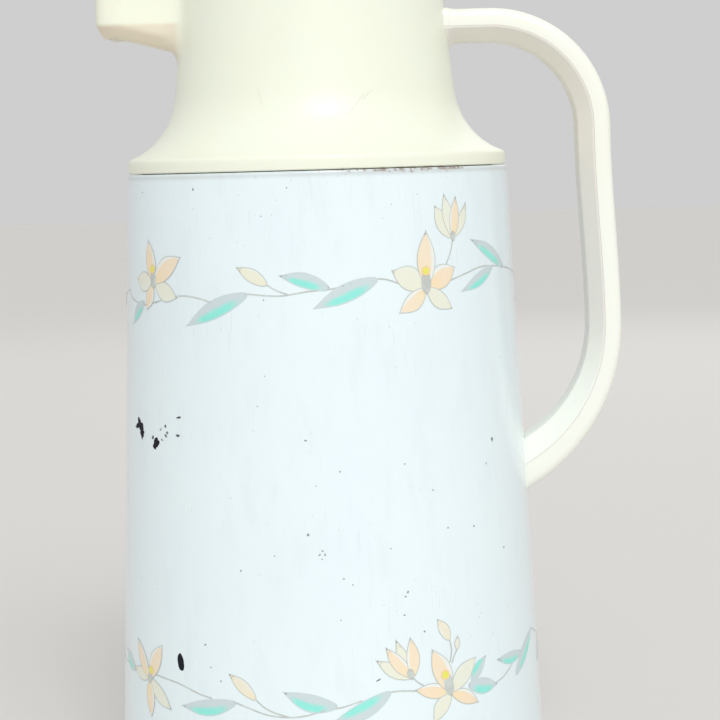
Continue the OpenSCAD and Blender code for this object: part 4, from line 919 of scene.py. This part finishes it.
def thicken(film):
    """Turns a film's faces outwards and gives them their thickness."""
    bmesh.ops.remove_doubles(film, verts=film.verts, dist=0.0008)
    film.normal_update()
    inward = [f for f in film.faces if f.normal.xy.dot(f.calc_center_median().xy) < 0]
    bmesh.ops.reverse_faces(film, faces=inward)
    bmesh.ops.solidify(film, geom=film.faces[:], thickness=FILM)
    bmesh.ops.recalc_face_normals(film, faces=film.faces)


# chips in the enamel: angle, height, half width, half height, tilt, raggedness
CHIPS = (
    (-62.4, 158.3, 1.8, 3.3, -33, 0.4), (-61.6, 156.3, 1.7, 2, -30, 0.4),
    (-64.6, 158.6, 2.4, 0.9, -12, 0.4), (-63.6, 159.8, 1, 1.7, -30, 0.3),
    (-52.9, 153.9, 1.8, 1.6, 10, 0.25), (-53.8, 152.5, 1.2, 1.3, 20, 0.25),
    (-54.9, 155.5, 0.8, 0.6, -30, 0.3), (-48.7, 160.3, 0.6, 0.55, 0, 0.3),
    (-47.8, 157.9, 0.65, 0.5, 20, 0.3), (-48.5, 156.8, 0.75, 0.45, 30, 0.3),
    (-51, 158.8, 0.4, 0.4, 0, 0.3), (-43, 164, 1.3, 0.4, -8, 0.35),
    (-43.4, 157.4, 1, 0.5, 5, 0.35), (-50.3, 155.2, 0.7, 0.3, 25, 0.3),
    (-42.6, 74.3, 1.7, 3.2, -12, 0.08), (-61.4, 245.6, 0.35, 0.3, 0, 0.3),
    (-37, 246.4, 0.35, 0.5, 0, 0.3), (-34, 82.2, 0.4, 0.4, 0, 0.3),
    (-32.3, 74.1, 0.35, 0.25, 0, 0.3), (-29.2, 69.6, 0.3, 0.35, 0, 0.3),
    (-4.6, 157, 0.5, 0.3, 0, 0.3), (4.2, 145.6, 0.35, 0.3, 0, 0.3),
    (-2.2, 140.8, 0.3, 0.15, 0, 0.3), (-4.6, 123.4, 0.4, 0.5, -20, 0.6),
    (-1.7, 116.3, 0.5, 0.25, -30, 0.5), (-0.9, 117.6, 0.35, 0.3, 0, 0.5),
    (-0.3, 116.2, 0.3, 0.4, 0, 0.5), (-1.1, 114.7, 0.3, 0.2, 0, 0.3),
    (-13.5, 115.9, 0.3, 0.25, 0, 0.3), (-22.9, 110.2, 0.35, 0.3, 0, 0.3),
    (4.3, 107.4, 0.4, 0.25, 0, 0.3), (6.6, 105.1, 0.3, 0.25, 0, 0.3),
    (17, 117.1, 0.25, 0.25, 0, 0.3), (21.2, 101, 0.35, 0.4, 10, 0.5),
    (20.5, 99.4, 0.4, 0.3, 0, 0.5), (20, 92.8, 0.4, 0.3, 0, 0.4),
    (29.9, 136.5, 0.25, 0.4, -20, 0.3), (34.1, 122.2, 0.3, 0.35, 0, 0.3),
    (43.3, 121.1, 0.35, 0.35, 0, 0.3), (56.1, 110.5, 0.4, 0.4, 0, 0.3),
    (53.3, 151.4, 0.5, 0.8, 0, 0.3), (21.8, 146.9, 0.3, 0.25, 0, 0.3),
    (49.8, 143.1, 0.25, 0.5, 0, 0.3), (25.4, 86, 0.4, 0.35, 0, 0.3),
    (12.4, 70.4, 0.9, 0.3, -24, 0.4), (127, 171, 1.1, 1.8, 20, 0.6), (212, 88, 0.9, 0.7, 0, 0.5),
    (161, 60, 0.5, 0.9, 10, 0.4), (241, 196, 0.7, 0.6, 0, 0.5))


def bare_ground():
    """Dark ground coat that shows where the enamel has chipped off, rusting at its edge."""
    f = Finish("bare_ground")
    c = colours()
    edge = f.mask(f.sum("ADD", f.attribute("rim"), f.between(f.noise(900.0, 4.0, 0.6, 64.0),
                                                              -0.3, 0.3)), 0.85, 1.1)
    base = f.mix(f.noise(600.0, 4.0, 0.6, 65.0), darker(tuple(c.chip), 0.7), tuple(c.chip))
    base = f.mix(f.sum("MULTIPLY", edge, 0.25), base, tuple(c.rust))
    base = f.mix(f.attribute("bare"), tinted(tuple(c.sleeve), 0.8, 0.8, 0.76), base)
    return f.coat(base, f.between(f.noise(400.0, 4.0, 0.6, 66.0), 0.55, 0.8),
                  f.noise(900.0, 4.0, 0.6, 67.0), 0.00005, Specular_IOR_Level=0.2)


class PUMPPOT_OT_chips(bpy.types.Operator):
    """Makes the places where the enamel has chipped off the sleeve"""

    bl_idname = "pump_pot.chips"
    bl_label = "Chips in the enamel"

    def execute(self, context):
        film = bmesh.new()
        for layer in ("rim", "bare"):
            film.verts.layers.float.new(layer)
        for k, chip in enumerate(CHIPS):
            self.chip(film, 0.04 + 0.004 * (k % 5), *chip)
        thicken(film)
        add_piece("enamel_chips", film, bare_ground(), "pot", crisp=40.0)
        return {"FINISHED"}

    def chip(self, film, lift, angle, height, wide, high, tilt, ragged):
        verts = bmesh.ops.create_circle(film, cap_ends=True, cap_tris=False, segments=28,
                                        radius=1.0)["verts"]
        disc = list({face for vert in verts for face in vert.link_faces})
        verts += bmesh.ops.poke(film, faces=disc)["verts"]
        rim, bare = (film.verts.layers.float[n] for n in ("rim", "bare"))
        unit = degree(height)
        for vert in verts:
            vert[rim] = vert.co.xy.length
            vert[bare] = min(0.45 + wide * high * 0.8, 1.0)
            bump = noise.fractal(Vector((*(vert.co.xy * 1.6), angle)), 0.7, 2.2, 3)
            swell = 1.0 + 1.4 * ragged * bump * vert[rim]
            at = Vector((vert.co.x * wide, vert.co.y * high)) * swell
            at.rotate(Matrix.Rotation(math.radians(-tilt), 2))
            lay(vert, angle + at.x / unit, height + at.y, 0.0, lift)


class PUMPPOT_OT_flower_bands(bpy.types.Operator):
    """Lays the two printed bands of flowers on the sleeve as thin films"""

    bl_idname = "pump_pot.flower_bands"
    bl_label = "Printed flower bands"

    LINE = 0.58              # thickness of the printed outlines
    ROWS = (0.0, 0.03, 0.09, 0.18, 0.3, 0.42, 0.54, 0.66, 0.78, 0.88, 0.95, 0.985, 1.0)
    COLUMNS = (-1.0, None, -0.45, 0.0, 0.45, None, 1.0)

    def execute(self, context):
        kinds = ("petals", "leaves", "lines", "hearts")
        films = {kind: bmesh.new() for kind in kinds}
        for film in films.values():
            for layer in ("rim", "side", "along", "tone"):
                film.verts.layers.float.new(layer)
        for band in (UPPER_BAND, LOWER_BAND):
            for turn in (0.0, 180.0):
                self.print_band(films, band, turn)
        finishes = {"petals": printed_petals, "leaves": printed_leaves,
                    "lines": printed_lines, "hearts": printed_hearts}
        for kind in kinds:
            thicken(films[kind])
            add_piece("printed_" + kind, films[kind], finishes[kind](), "pot",
                      crisp=40.0)
        return {"FINISHED"}

    def print_band(self, films, band, turn):
        for k, (foot, tip, width, bend, tone) in enumerate(band["leaves"]):
            self.blade(films["leaves"], foot, tip, width, bend, 1.0, turn, 0.05 + 0.004 * k,
                       side=tone)
        for k, (foot, tip, width, bend, tone) in enumerate(band["buds"] + band["petals"]):
            self.blade(films["petals"], foot, tip, width, bend, tone, turn, 0.075 + 0.006 * k,
                       side=1 if k % 2 else -1)
        for foot, tip, width in band["dabs"]:
            self.blade(films["lines"], foot, tip, width, 0.0, 0.0, turn, 0.19, blunt=True)
        for path in band["stems"]:
            self.stem(films["lines"], path, turn)
        for centre, radius in band["hearts"]:
            self.heart(films["hearts"], centre, radius, turn)

    def sheet(self, film, across, along):
        """Grid of that many spans, as {(column, row): vert}."""
        verts = bmesh.ops.create_grid(film, x_segments=across, y_segments=along,
                                      size=1.0)["verts"]
        return {(round((v.co.x + 1) / 2 * across), round((v.co.y + 1) / 2 * along)): v
                for v in verts}

    def blade(self, film, foot, tip, width, bend, tone, turn, lift, side=1, blunt=False):
        """Petal, leaf or dab from its foot to its tip."""
        layers = {n: film.verts.layers.float[n] for n in ("rim", "side", "along", "tone")}
        unit = degree(foot[1])
        start = Vector((foot[0] * unit, foot[1]))
        way = Vector((tip[0] * unit, tip[1])) - start
        normal = Vector((-way.y, way.x)).normalized()
        grid = self.sheet(film, len(self.COLUMNS) - 1, len(self.ROWS) - 1)
        for (col, row), vert in grid.items():
            t = self.ROWS[row]
            swell = math.sin(math.pi * (1 - t) ** 0.8 if blunt else math.pi * t ** 0.9)
            half = width / 2 * swell ** (0.6 if blunt else 0.62 + 0.5 * t) if 0 < t < 1 else 0.0
            share = self.COLUMNS[col]
            if share is None:
                share = math.copysign(max(half - self.LINE, 0.0) / half if half else 0.0,
                                      col - 3)
            at = start + way * t + normal * (bend * math.sin(math.pi * t) + share * half)
            lay(vert, at.x / unit, at.y, turn, lift)
            vert[layers["rim"]] = 1.0 if col in (0, 6) or half < self.LINE / 2 else 0.0
            vert[layers["side"]] = share * side
            vert[layers["along"]] = t
            vert[layers["tone"]] = tone

    def stem(self, film, path, turn, width=0.55):
        """Ribbon through the points of a path, on a smooth curve."""
        unit = degree(path[0][1])
        points = [Vector((a * unit, h)) for a, h in path]
        points = [points[0] * 2 - points[1], *points, points[-1] * 2 - points[-2]]
        line = []
        for a, b, c, d in zip(points, points[1:], points[2:], points[3:]):
            cuts = max(2, round((c - b).length / 1.6))
            for i in range(cuts):
                t = i / cuts
                line.append(0.5 * (2 * b + (c - a) * t + (2 * a - 5 * b + 4 * c - d) * t * t
                                   + (3 * b - a - 3 * c + d) * t ** 3))
        line.append(points[-2])
        grid = self.sheet(film, 2, len(line) - 1)
        for (col, row), vert in grid.items():
            way = line[min(row + 1, len(line) - 1)] - line[max(row - 1, 0)]
            normal = Vector((-way.y, way.x)).normalized()
            at = line[row] + normal * width / 2 * (col - 1)
            lay(vert, at.x / unit, at.y, turn, 0.05)

    def heart(self, film, centre, radius, turn):
        along = film.verts.layers.float["along"]
        unit = degree(centre[1])
        verts = bmesh.ops.create_circle(film, cap_ends=True, cap_tris=False, segments=18,
                                        radius=1.0)["verts"]
        disc = list({face for vert in verts for face in vert.link_faces})
        verts += bmesh.ops.poke(film, faces=disc)["verts"]
        for vert in verts:
            out = vert.co.xy.length
            vert[along] = out
            lay(vert, centre[0] + vert.co.x * radius / unit, centre[1] + vert.co.y * radius,
                turn, 0.25)


class PUMPPOT_OT_handle(bpy.types.Operator):
    """Makes the two halves of the side handle, with the hollow curve at its root"""

    bl_idname = "pump_pot.handle"
    bl_label = "Handle"

    SPLIT = 0.54             # share of the thickness in the outer half
    PARTING = 0.06           # gap between the two halves
    MIDDLE = 200.0           # height between the handle's two roots
    NECK_END, SLEEVE_END = 49.3, 76.0    # where the upper and the lower root are cut off
    NECK_WALL = 49.9         # radius inside the neck's skin, where the upper root stops

    def execute(self, context):
        s = sizes()
        self.thick = s.handle_thickness / MM
        self.half_w = s.handle_width / MM / 2
        seam, reach = s.seam_height / MM, s.handle_reach / MM
        self.top = seam + 59.6
        self.stations = self.path(reach)
        self.slope = ((s.sleeve_foot_radius - s.sleeve_top_radius)
                      / (s.seam_height - s.sleeve_foot))
        self.seam, self.sleeve_r = seam, s.sleeve_top_radius / MM
        self.half("handle_outer_half", self.outer_section(), ("handle_outer",))
        self.half("handle_inner_half", self.inner_section(), ("handle_inner",))
        return {"FINISHED"}

    def path(self, reach):
        """Stations (outer point, inward way, thickness, root curve) from neck to sleeve."""
        made = []
        t = self.thick
        arch_r = 46.0
        arch = Vector((reach - 3.0 - arch_r, self.top - arch_r))
        for x in (47.5, 50.4, 51.2, 51.9, 52.7, 53.6, 54.7, 56.0, 59.5, 63.0):
            off = max(0.0, min(1.0, (55.8 - x) / 4.6))
            made.append((Vector((x, self.top)), Vector((0, -1)), t, 1 - math.sqrt(1 - off * off)))
        for k in range(33):
            a = math.radians(90 - 90 * k / 32)
            way = Vector((math.cos(a), math.sin(a)))
            made.append((arch + way * arch_r, -way, t, 0.0))
        grip = 190.0
        for k in range(1, 9):
            share = k / 9
            ease = share * share * (3 - 2 * share)
            made.append((Vector((reach - 3.0 + 3.0 * ease, arch.y + (grip - arch.y) * share)),
                         Vector((-1, 0)), t, 0.0))
        out_r, in_r = 73.4, 50.6
        out_c = Vector((reach - out_r, grip))
        in_c = Vector((reach - t - in_r, grip))
        for k in range(31):
            a = math.radians(-70.0 * k / 30)
            way = Vector((math.cos(a), math.sin(a)))
            outside, inside = out_c + way * out_r, in_c + way * in_r
            made.append((outside, (inside - outside).normalized(), (inside - outside).length,
                         0.0))
        return made

    def outer_section(self):
        """Points (across, share of the half's depth, lift): round shoulders, low crown."""
        w, deep = self.half_w, self.thick * self.SPLIT
        corners = [(-w, deep, 0.1), (-w, 0.5, 3.4), (-w / 2, 0.1, 5.0), (0, 0.0, 8.0),
                   (w / 2, 0.1, 5.0), (w, 0.5, 3.4), (w, deep, 0.1)]
        return [(y, d / deep) for y, d in softened(corners, 6)]

    def inner_section(self):
        w, t = self.half_w, self.thick
        start = t * self.SPLIT + self.PARTING
        deep = t - start
        corners = [(-w, 0.0, 0.1), (w, 0.0, 0.1), (w, 0.6, 0.9), (6.7, deep, 1.5),
                   (-6.7, deep, 1.5), (-w, 0.6, 0.9)]
        return [(y, 1 + d / deep) for y, d in softened(corners, 6)]

    def half(self, name, section, stands_for):
        bm = bmesh.new()
        rings = []
        for outside, way, thick, root in self.stations:
            split = thick * self.SPLIT
            ring = []
            for y, share in section:
                if share < 1.0001 and name == "handle_outer_half":
                    depth = split * share - 0.6 * root * (1 - share)
                else:
                    inner = split + self.PARTING
                    depth = inner + (thick - inner) * (share - 1)
                    depth += 4.4 * root * (share - 1)
                p = outside + way * depth
                ring.append((p.x, y * (1 + 0.05 * root), p.y))
            rings.append(ring)
        skinned(bm, rings)
        # both ends stop in the wall that they meet
        for x, is_low in ((self.SLEEVE_END, True), (self.NECK_END, False)):
            geom = [g for g in bm.verts[:] + bm.edges[:] + bm.faces[:]
                    if (self.middle(g).z < self.MIDDLE) == is_low]
            cut = bmesh.ops.bisect_plane(bm, geom=geom, dist=1e-4, plane_co=(x, 0, 0),
                                         plane_no=(-1, 0, 0), clear_outer=True)["geom_cut"]
            edges = only(bmesh.types.BMEdge, cut)
            bmesh.ops.contextual_create(bm, geom=edges)
            for v in {v for e in edges for v in e.verts}:
                r = self.NECK_WALL
                if is_low:
                    r = self.sleeve_r + (self.seam - v.co.z) * self.slope - 0.35
                v.co.x = math.sqrt(r * r - v.co.y ** 2)
        bmesh.ops.recalc_face_normals(bm, faces=bm.faces)
        # the inner half takes the plastic with painted shade
        finish = shaded_handle_plastic() if name == "handle_inner_half" else cream_plastic()
        add_piece(name, bm, finish, "pot", stands_for, crisp=40.0)

    @staticmethod
    def middle(g):
        if isinstance(g, bmesh.types.BMVert):
            return g.co
        return sum((v.co for v in g.verts), Vector()) / len(g.verts)


class PUMPPOT_OT_lid(bpy.types.Operator):
    """Makes the lid's cover, its latch, the lock ring and the push button"""

    bl_idname = "pump_pot.lid"
    bl_label = "Lid, latch, ring and button"

    def execute(self, context):
        s = sizes()
        self.top, self.press = s.lid_top / MM, s.button_top / MM
        self.low = s.rim_height / MM + 0.5
        self.cover()
        self.latch()
        self.ring()
        self.button()
        return {"FINISHED"}

    def cover(self):
        r, t, low, top = 50.4, 2.2, self.low, self.top
        window = (low + 4.7, low + 14.3)
        bm = bmesh.new()
        outline = [(r - 0.45, low), (r - 0.1, low + 0.12), (r, low + 0.5)]
        outline += [(r, window[0]), (r, (window[0] + top - 8) / 2)]
        outline += arc((r - 8, top - 8), 8, 0, 90, 14)
        outline += [(41.2, top), (38.9, top), (36.8, top), (36.4, top - 0.4), (36.4, top - t)]
        outline += arc((r - 8, top - 8), 8 - t, 90, 0, 10)
        outline += [(r - t, window[0]), (r - t, low)]
        # rows on both sides of the wall at the window's upper edge
        outline = self.with_row(outline, window[1])
        turned(bm, outline)
        half = math.radians(10.1)
        inside = []
        for face in bm.faces:
            c = face.calc_center_median()
            turn = math.atan2(c.y, -c.x)
            if abs(turn) < half and window[0] < c.z < window[1] and c.xy.length > r - t - 1.0:
                inside.append(face)
        bmesh.ops.delete(bm, geom=inside, context="FACES")
        open_edges = [e for e in bm.edges if e.is_boundary]
        walls = bmesh.ops.bridge_loops(bm, edges=open_edges)["faces"]
        outer = [e for f in walls for e in f.edges
                 if all(abs(v.co.x) > r - 1.9 for v in e.verts)
                 and sum(g in walls for g in e.link_faces) == 1]
        soften_edges(bm, outer, 0.45, 3)
        # knuckle of the hinge, blended into the lid's back
        pin = Vector((55.5, low + 2.0))
        nose = arc(pin, 4.2, -70, 76, 12)
        outline = [(48.6, low + 0.1), (51.2, low + 0.1)] + nose + [
            (53.4, low + 7.6), (51.6, low + 9.6), (50.2, low + 12.6), (48.6, low + 13.2)]
        slab(bm, outline, -11.7, 11.7, 0.6, 3)
        bmesh.ops.recalc_face_normals(bm, faces=bm.faces)
        add_piece("lid_shell", bm, ivory_plastic(), "lid", ("lid_cover",))

    @staticmethod
    def with_row(outline, z):
        """Adds a point at height z on every span of the outline that crosses it."""
        made = []
        for (a, b), (c, d) in zip(outline, outline[1:] + outline[:1]):
            made.append((a, b))
            if (b - z) * (d - z) < -1e-6:
                share = (z - b) / (d - b)
                made.append((a + (c - a) * share, z))
        return made

    def latch(self):
        low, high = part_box("lid_latch")
        low, high = low / MM, high / MM
        face_r = -low.x
        z0, z1 = self.low + 5, self.low + 14
        bm = bmesh.new()
        half = 8.5
        back = 45.0
        spread = math.asin(half / face_r)
        outline = [(-face_r * math.cos(spread * k / 6), face_r * math.sin(spread * k / 6))
                   for k in range(-6, 7)] + [(-back, half), (-back, -half)]
        slab(bm, outline, z0, z1, 0.8, 4, along="Z")
        # grip ribs across the thumb piece
        for k in range(4):
            z = z0 + 2.1 + k * 1.6
            rib_r = face_r - 0.22
            turn = spread * 0.72
            band = [(-rib_r * math.cos(turn * j / 5), rib_r * math.sin(turn * j / 5))
                    for j in range(-5, 6)]
            band += [(-(rib_r - 1.5) * math.cos(turn * j / 5),
                      (rib_r - 1.5) * math.sin(turn * j / 5))
                     for j in range(5, -6, -1)]
            band = [(a * (1 + 0.22 / face_r), b) for a, b in band]
            slab(bm, band, z, z + 0.75, 0.28, 2, along="Z")
        leg_out, leg_in = 43.0, 41.4
        block(bm, (-46.0, -5, z0 + 1), (-leg_in, 5, z0 + 5), 0.4)
        block(bm, (-leg_out, -5, low.z), (-leg_in, 5, z0 + 5), 0.35)
        block(bm, (-43.9, -4.2, low.z), (-41.8, 4.2, low.z + 2.0), 0.3)
        bmesh.ops.recalc_face_normals(bm, faces=bm.faces)
        add_piece("latch_thumb", bm, cream_plastic(), "latch", ("lid_latch",))

    def ring(self):
        in_r, skirt_r, out_r = 34.4, 36.1, 41.0
        under, top = self.top + 0.2, self.top + 2.4
        low, lip_top = self.top - 3.7, self.top - 2.5
        bm = bmesh.new()
        outline = softened([
            (in_r, low, 0.2), (skirt_r + 1.1, low, 0.3), (skirt_r + 1.1, lip_top, 0.2),
            (skirt_r, lip_top, 0), (skirt_r, under, 0), (out_r, under, 0.35),
            (out_r, top, 0.9), (in_r, top, 0.6)], 5)
        turned(bm, outline)
        # thumb piece with three ribs
        turn = math.radians(-60)
        spread = 5.5 / 42
        tab = [(43.5 * math.cos(turn + spread * k / 4), 43.5 * math.sin(turn + spread * k / 4))
               for k in range(-4, 5)]
        tab += [(38.6 * math.cos(turn + spread * k / 4), 38.6 * math.sin(turn + spread * k / 4))
                for k in range(4, -5, -1)]
        slab(bm, tab, under, top + 1.1, 0.7, 3, along="Z")
        for k in (-1, 0, 1):
            a = turn + spread * 0.5 * k
            rib = bmesh.new()
            block(rib, (39.6, -0.4, top + 0.9), (42.9, 0.4, top + 1.38), 0.2, 2)
            bmesh.ops.rotate(rib, cent=(0, 0, 0), matrix=Matrix.Rotation(a, 3, "Z"),
                             verts=rib.verts)
            spare = bpy.data.meshes.new("rib")
            rib.to_mesh(spare)
            bm.from_mesh(spare)
            bpy.data.meshes.remove(spare)
            rib.free()
        bmesh.ops.recalc_face_normals(bm, faces=bm.faces)
        add_piece("lock_ring_turned", bm, cream_plastic(), "lock",
                  ("lock_ring",))

    def button(self):
        top, r = self.press, 33.4
        flange = self.top - 6.0
        bm = bmesh.new()
        crown = [(0.0, top - 0.62), (9.0, top - 0.6), (16.0, top - 0.52), (21.0, top - 0.35),
                 (24.5, top - 0.12), (26.4, top), (28.0, top - 0.02)]
        outline = crown + arc((r - 2, top - 2), 2, 90, 0, 7)
        outline += [(r, flange + 2), (35.4, flange + 2), (35.4, flange), (r - 2, flange),
                    (r - 2, top - 2.5), (0.0, top - 2.5)]
        turned(bm, outline, shut=False)
        add_piece("pump_button", bm, ivory_plastic(), "button",
                  ("push_button",))


class PUMPPOT_OT_pump(bpy.types.Operator):
    """Makes the bellows and the spring that sit under the push button"""

    bl_idname = "pump_pot.pump"
    bl_label = "Bellows and spring"

    RADIUS, FOLD, FOLDS, WALL = 30.4, 5.4, 8, 1.4
    COIL, WIRE, TURNS = 16.0, 1.8, 7
    STROKE = 22.0

    def execute(self, context):
        low, high = (c.z / MM for c in map(Vector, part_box("bellows")))
        self.low, self.high = low, high
        for piece in (self.bellows(), self.spring()):
            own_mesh(piece)
        return {"FINISHED"}

    def bellows(self):
        count = 2 * self.FOLDS
        outer = [(self.RADIUS - k % 2 * self.FOLD, self.low + (self.high - self.low) * k / count)
                 for k in range(count + 1)]
        inner = [(r - self.WALL, z) for r, z in reversed(outer)]
        corners = [(r, z, 0.1 if z in (self.low, self.high) else 0.9) for r, z in outer + inner]
        bm = bmesh.new()
        turned(bm, softened(corners, 4), 96)
        return add_piece("pump_bellows", bm, shared("soft_rubber", lambda name: rubber(
            name, paint(206, 203, 194), 0.5)), "lid", ("bellows",), crisp=60.0)

    def spring(self):
        start, end = self.low + 1.05, self.high - 1.05
        steps = self.TURNS * 28
        bm = bmesh.new()
        ring = bmesh.ops.create_circle(bm, segments=12, radius=self.WIRE / 2,
                                       matrix=Matrix.Translation((self.COIL, 0, start))
                                       @ Matrix.Rotation(math.pi / 2, 4, "X"))["verts"]
        bmesh.ops.spin(bm, geom=ring + bm.edges[:], cent=(0, 0, 0), axis=(0, 0, 1),
                       dvec=(0, 0, (end - start) / steps), angle=math.tau * self.TURNS,
                       steps=steps, use_merge=False, use_normal_flip=False,
                       use_duplicate=False)
        bmesh.ops.holes_fill(bm, edges=bm.edges, sides=12)
        # the first and last coils lie flat
        pitch = (end - start) / self.TURNS
        for vert in bm.verts:
            part = math.atan2(vert.co.y, vert.co.x) / math.tau % 1.0
            turn = round((vert.co.z - start) / pitch - part) + part
            vert.co.z += start + (end - start) * self.rise(turn) - (start + pitch * turn)
        bmesh.ops.recalc_face_normals(bm, faces=bm.faces)
        return add_piece("press_spring", bm, shared("drawn_steel", bright_steel), "lid",
                         ("pump_spring",), crisp=60.0)

    def rise(self, turn):
        """Share of the spring's length reached after that many turns."""
        if turn < 1:
            return 0.05 * turn
        if turn > self.TURNS - 1:
            return 1 - 0.05 * (self.TURNS - turn)
        return 0.05 + 0.9 * (turn - 1) / (self.TURNS - 2)


class PUMPPOT_OT_inner_parts(bpy.types.Operator):
    """Gives the bottle, pump, pipes, screws and gaskets their finishes"""

    bl_idname = "pump_pot.inner_parts"
    bl_label = "Inner parts' finishes"

    def execute(self, context):
        white = moulded_plastic("white_moulding", paint(236, 237, 232), 0.34, 0.2)
        pale = rubber("pale_rubber", paint(214, 210, 198), 0.5)
        dark = rubber("grey_rubber", paint(66, 66, 68), 0.6)
        steel = shared("drawn_steel", bright_steel)
        glass = silvered_glass("silvered_glass")
        dressed = {
            white: ("outlet_nozzle", "outlet_pipe", "mouth_collar", "pump_housing"),
            pale: ("pipe_grommet", "mouth_gasket", "stopper_gasket", "valve_flap",
                   "inlet_valve"),
            dark: ("bottle_cushion", "foot_pads"),
            steel: ("dip_tube", "handle_screws", "handle_bracket", "hinge_pin", "lid_screws"),
            glass: ("vacuum_bottle",),
            ivory_plastic(): ("bottom_cap",),
        }
        for finish, names in dressed.items():
            for name in names:
                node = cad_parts[name]
                node.data.materials.clear()
                node.data.materials.append(finish)
        return {"FINISHED"}


class PUMPPOT_OT_stage(bpy.types.Operator):
    """Sets the camera, the soft studio lights and the pale floor"""

    bl_idname = "pump_pot.stage"
    bl_label = "Camera, lights and floor"

    EYE = (0.0086, -0.8, 0.254953)          # the camera's place
    TURN = (0.41992, 5.51756, -1.61645)     # its yaw, pitch down and roll, in degrees
    LENS = 103.05                           # focal length in mm, on a 36 mm sensor

    def execute(self, context):
        self.camera()
        self.floor()
        self.sun()
        self.lamp("key_light", (0.36, -1.95, 2.1), 0.4, 7.0, (1.0, 0.99, 0.965))
        self.lamp("fill_light", (-1.9, -1.5, 1.0), 1.4, 1.0, (0.86, 0.92, 1.0))
        self.lamp("back_light", (0.5, 2.0, 1.3), 1.4, 4.0, (0.95, 0.97, 1.0))
        world = bpy.data.worlds.new("studio_air")
        context.scene.world = world
        world.use_nodes = True
        air = world.node_tree.nodes["Background"]
        air.inputs["Color"].default_value = (0.625, 0.622, 0.625, 1.0)
        air.inputs["Strength"].default_value = 1.0
        context.scene.view_settings.view_transform = "Standard"
        context.scene.view_settings.look = "None"
        return {"FINISHED"}

    def camera(self):
        yaw, pitch, roll = (math.radians(a) for a in self.TURN)
        ahead = Vector((math.sin(yaw) * math.cos(pitch), math.cos(yaw) * math.cos(pitch),
                        -math.sin(pitch)))
        level = Vector((math.cos(yaw), -math.sin(yaw), 0.0))
        up = level.cross(ahead)
        right = math.cos(roll) * level + math.sin(roll) * up
        head = -math.sin(roll) * level + math.cos(roll) * up
        data = bpy.data.cameras.new("studio_camera")
        data.sensor_width = 36.0
        data.lens = self.LENS
        data.clip_start, data.clip_end = 0.05, 50.0
        camera = placed("studio_camera", data)
        place = Matrix((right, head, -ahead)).transposed().to_4x4()
        place.translation = self.EYE
        camera.matrix_world = place
        bpy.context.scene.camera = camera

    def floor(self):
        bm = bmesh.new()
        bmesh.ops.create_circle(bm, cap_ends=True, segments=96, radius=9.0)
        bmesh.ops.translate(bm, vec=(0, 0, -0.0002), verts=bm.verts)
        mesh = bpy.data.meshes.new("studio_floor")
        bm.to_mesh(mesh)
        bm.free()
        floor = placed("studio_floor", mesh)
        f = Finish("studio_floor")
        tone = tuple(colours().floor)
        cloud = f.noise(3.0, 3.0, 0.5, 40.0)
        base = f.mix(f.sum("MULTIPLY", cloud, 0.2), tone, darker(tone, 0.96))
        f.coat(base, f.between(f.noise(20.0, 3.0, 0.5, 41.0), 0.6, 0.75),
               Specular_IOR_Level=0.2)
        mesh.materials.append(f.material)

    def sun(self):
        """Large soft light from the front right, even over the whole floor."""
        data = bpy.data.lights.new("window_light", "SUN")
        data.energy = 1.25
        data.angle = math.radians(35)
        lamp = placed("window_light", data)
        way = Vector((-0.17, 0.88, -0.72))
        lamp.matrix_world = way.to_track_quat("-Z", "Y").to_matrix().to_4x4()

    def lamp(self, name, place, size, power, tone):
        data = bpy.data.lights.new(name, "AREA")
        data.shape = "SQUARE"
        data.size = size
        data.energy = power
        data.color = tone
        lamp = placed(name, data)
        way = Vector((0.0, 0.0, 0.2)) - Vector(place)
        turn = way.to_track_quat("-Z", "Y").to_matrix().to_4x4()
        turn.translation = place
        lamp.matrix_world = turn


class PUMPPOT_PT_pieces(bpy.types.Panel):
    """Pieces and sizes of the pump pot"""

    bl_idname = "PUMPPOT_PT_pieces"
    bl_label = "Pump Pot"
    bl_space_type = "VIEW_3D"
    bl_region_type = "UI"
    bl_category = "Pump Pot"

    def draw(self, context):
        layout = self.layout
        for operator in OPERATORS:
            layout.operator(operator.bl_idname, text=operator.bl_label)
        for group in (context.scene.pump_pot_sizes, context.scene.pump_pot_colours):
            box = layout.box()
            for name in group.__annotations__:
                box.prop(group, name)


OPERATORS = (PUMPPOT_OT_stage, PUMPPOT_OT_shoulder, PUMPPOT_OT_sleeve,
             PUMPPOT_OT_flower_bands, PUMPPOT_OT_chips, PUMPPOT_OT_handle, PUMPPOT_OT_lid,
             PUMPPOT_OT_pump, PUMPPOT_OT_inner_parts)
CLASSES = (PumpPotSizes, PumpPotColours, *OPERATORS, PUMPPOT_PT_pieces)


def register():
    for item in CLASSES:
        bpy.utils.register_class(item)
    bpy.types.Scene.pump_pot_sizes = bpy.props.PointerProperty(type=PumpPotSizes)
    bpy.types.Scene.pump_pot_colours = bpy.props.PointerProperty(type=PumpPotColours)


def unregister():
    del bpy.types.Scene.pump_pot_colours
    del bpy.types.Scene.pump_pot_sizes
    for item in reversed(CLASSES):
        bpy.utils.unregister_class(item)


def main():
    register()
    bpy.ops.pump_pot.stage()
    bpy.ops.pump_pot.shoulder()
    bpy.ops.pump_pot.sleeve()
    bpy.ops.pump_pot.flower_bands()
    bpy.ops.pump_pot.chips()
    bpy.ops.pump_pot.handle()
    bpy.ops.pump_pot.lid()
    bpy.ops.pump_pot.pump()
    bpy.ops.pump_pot.inner_parts()


if __name__ == "__main__":
    main()
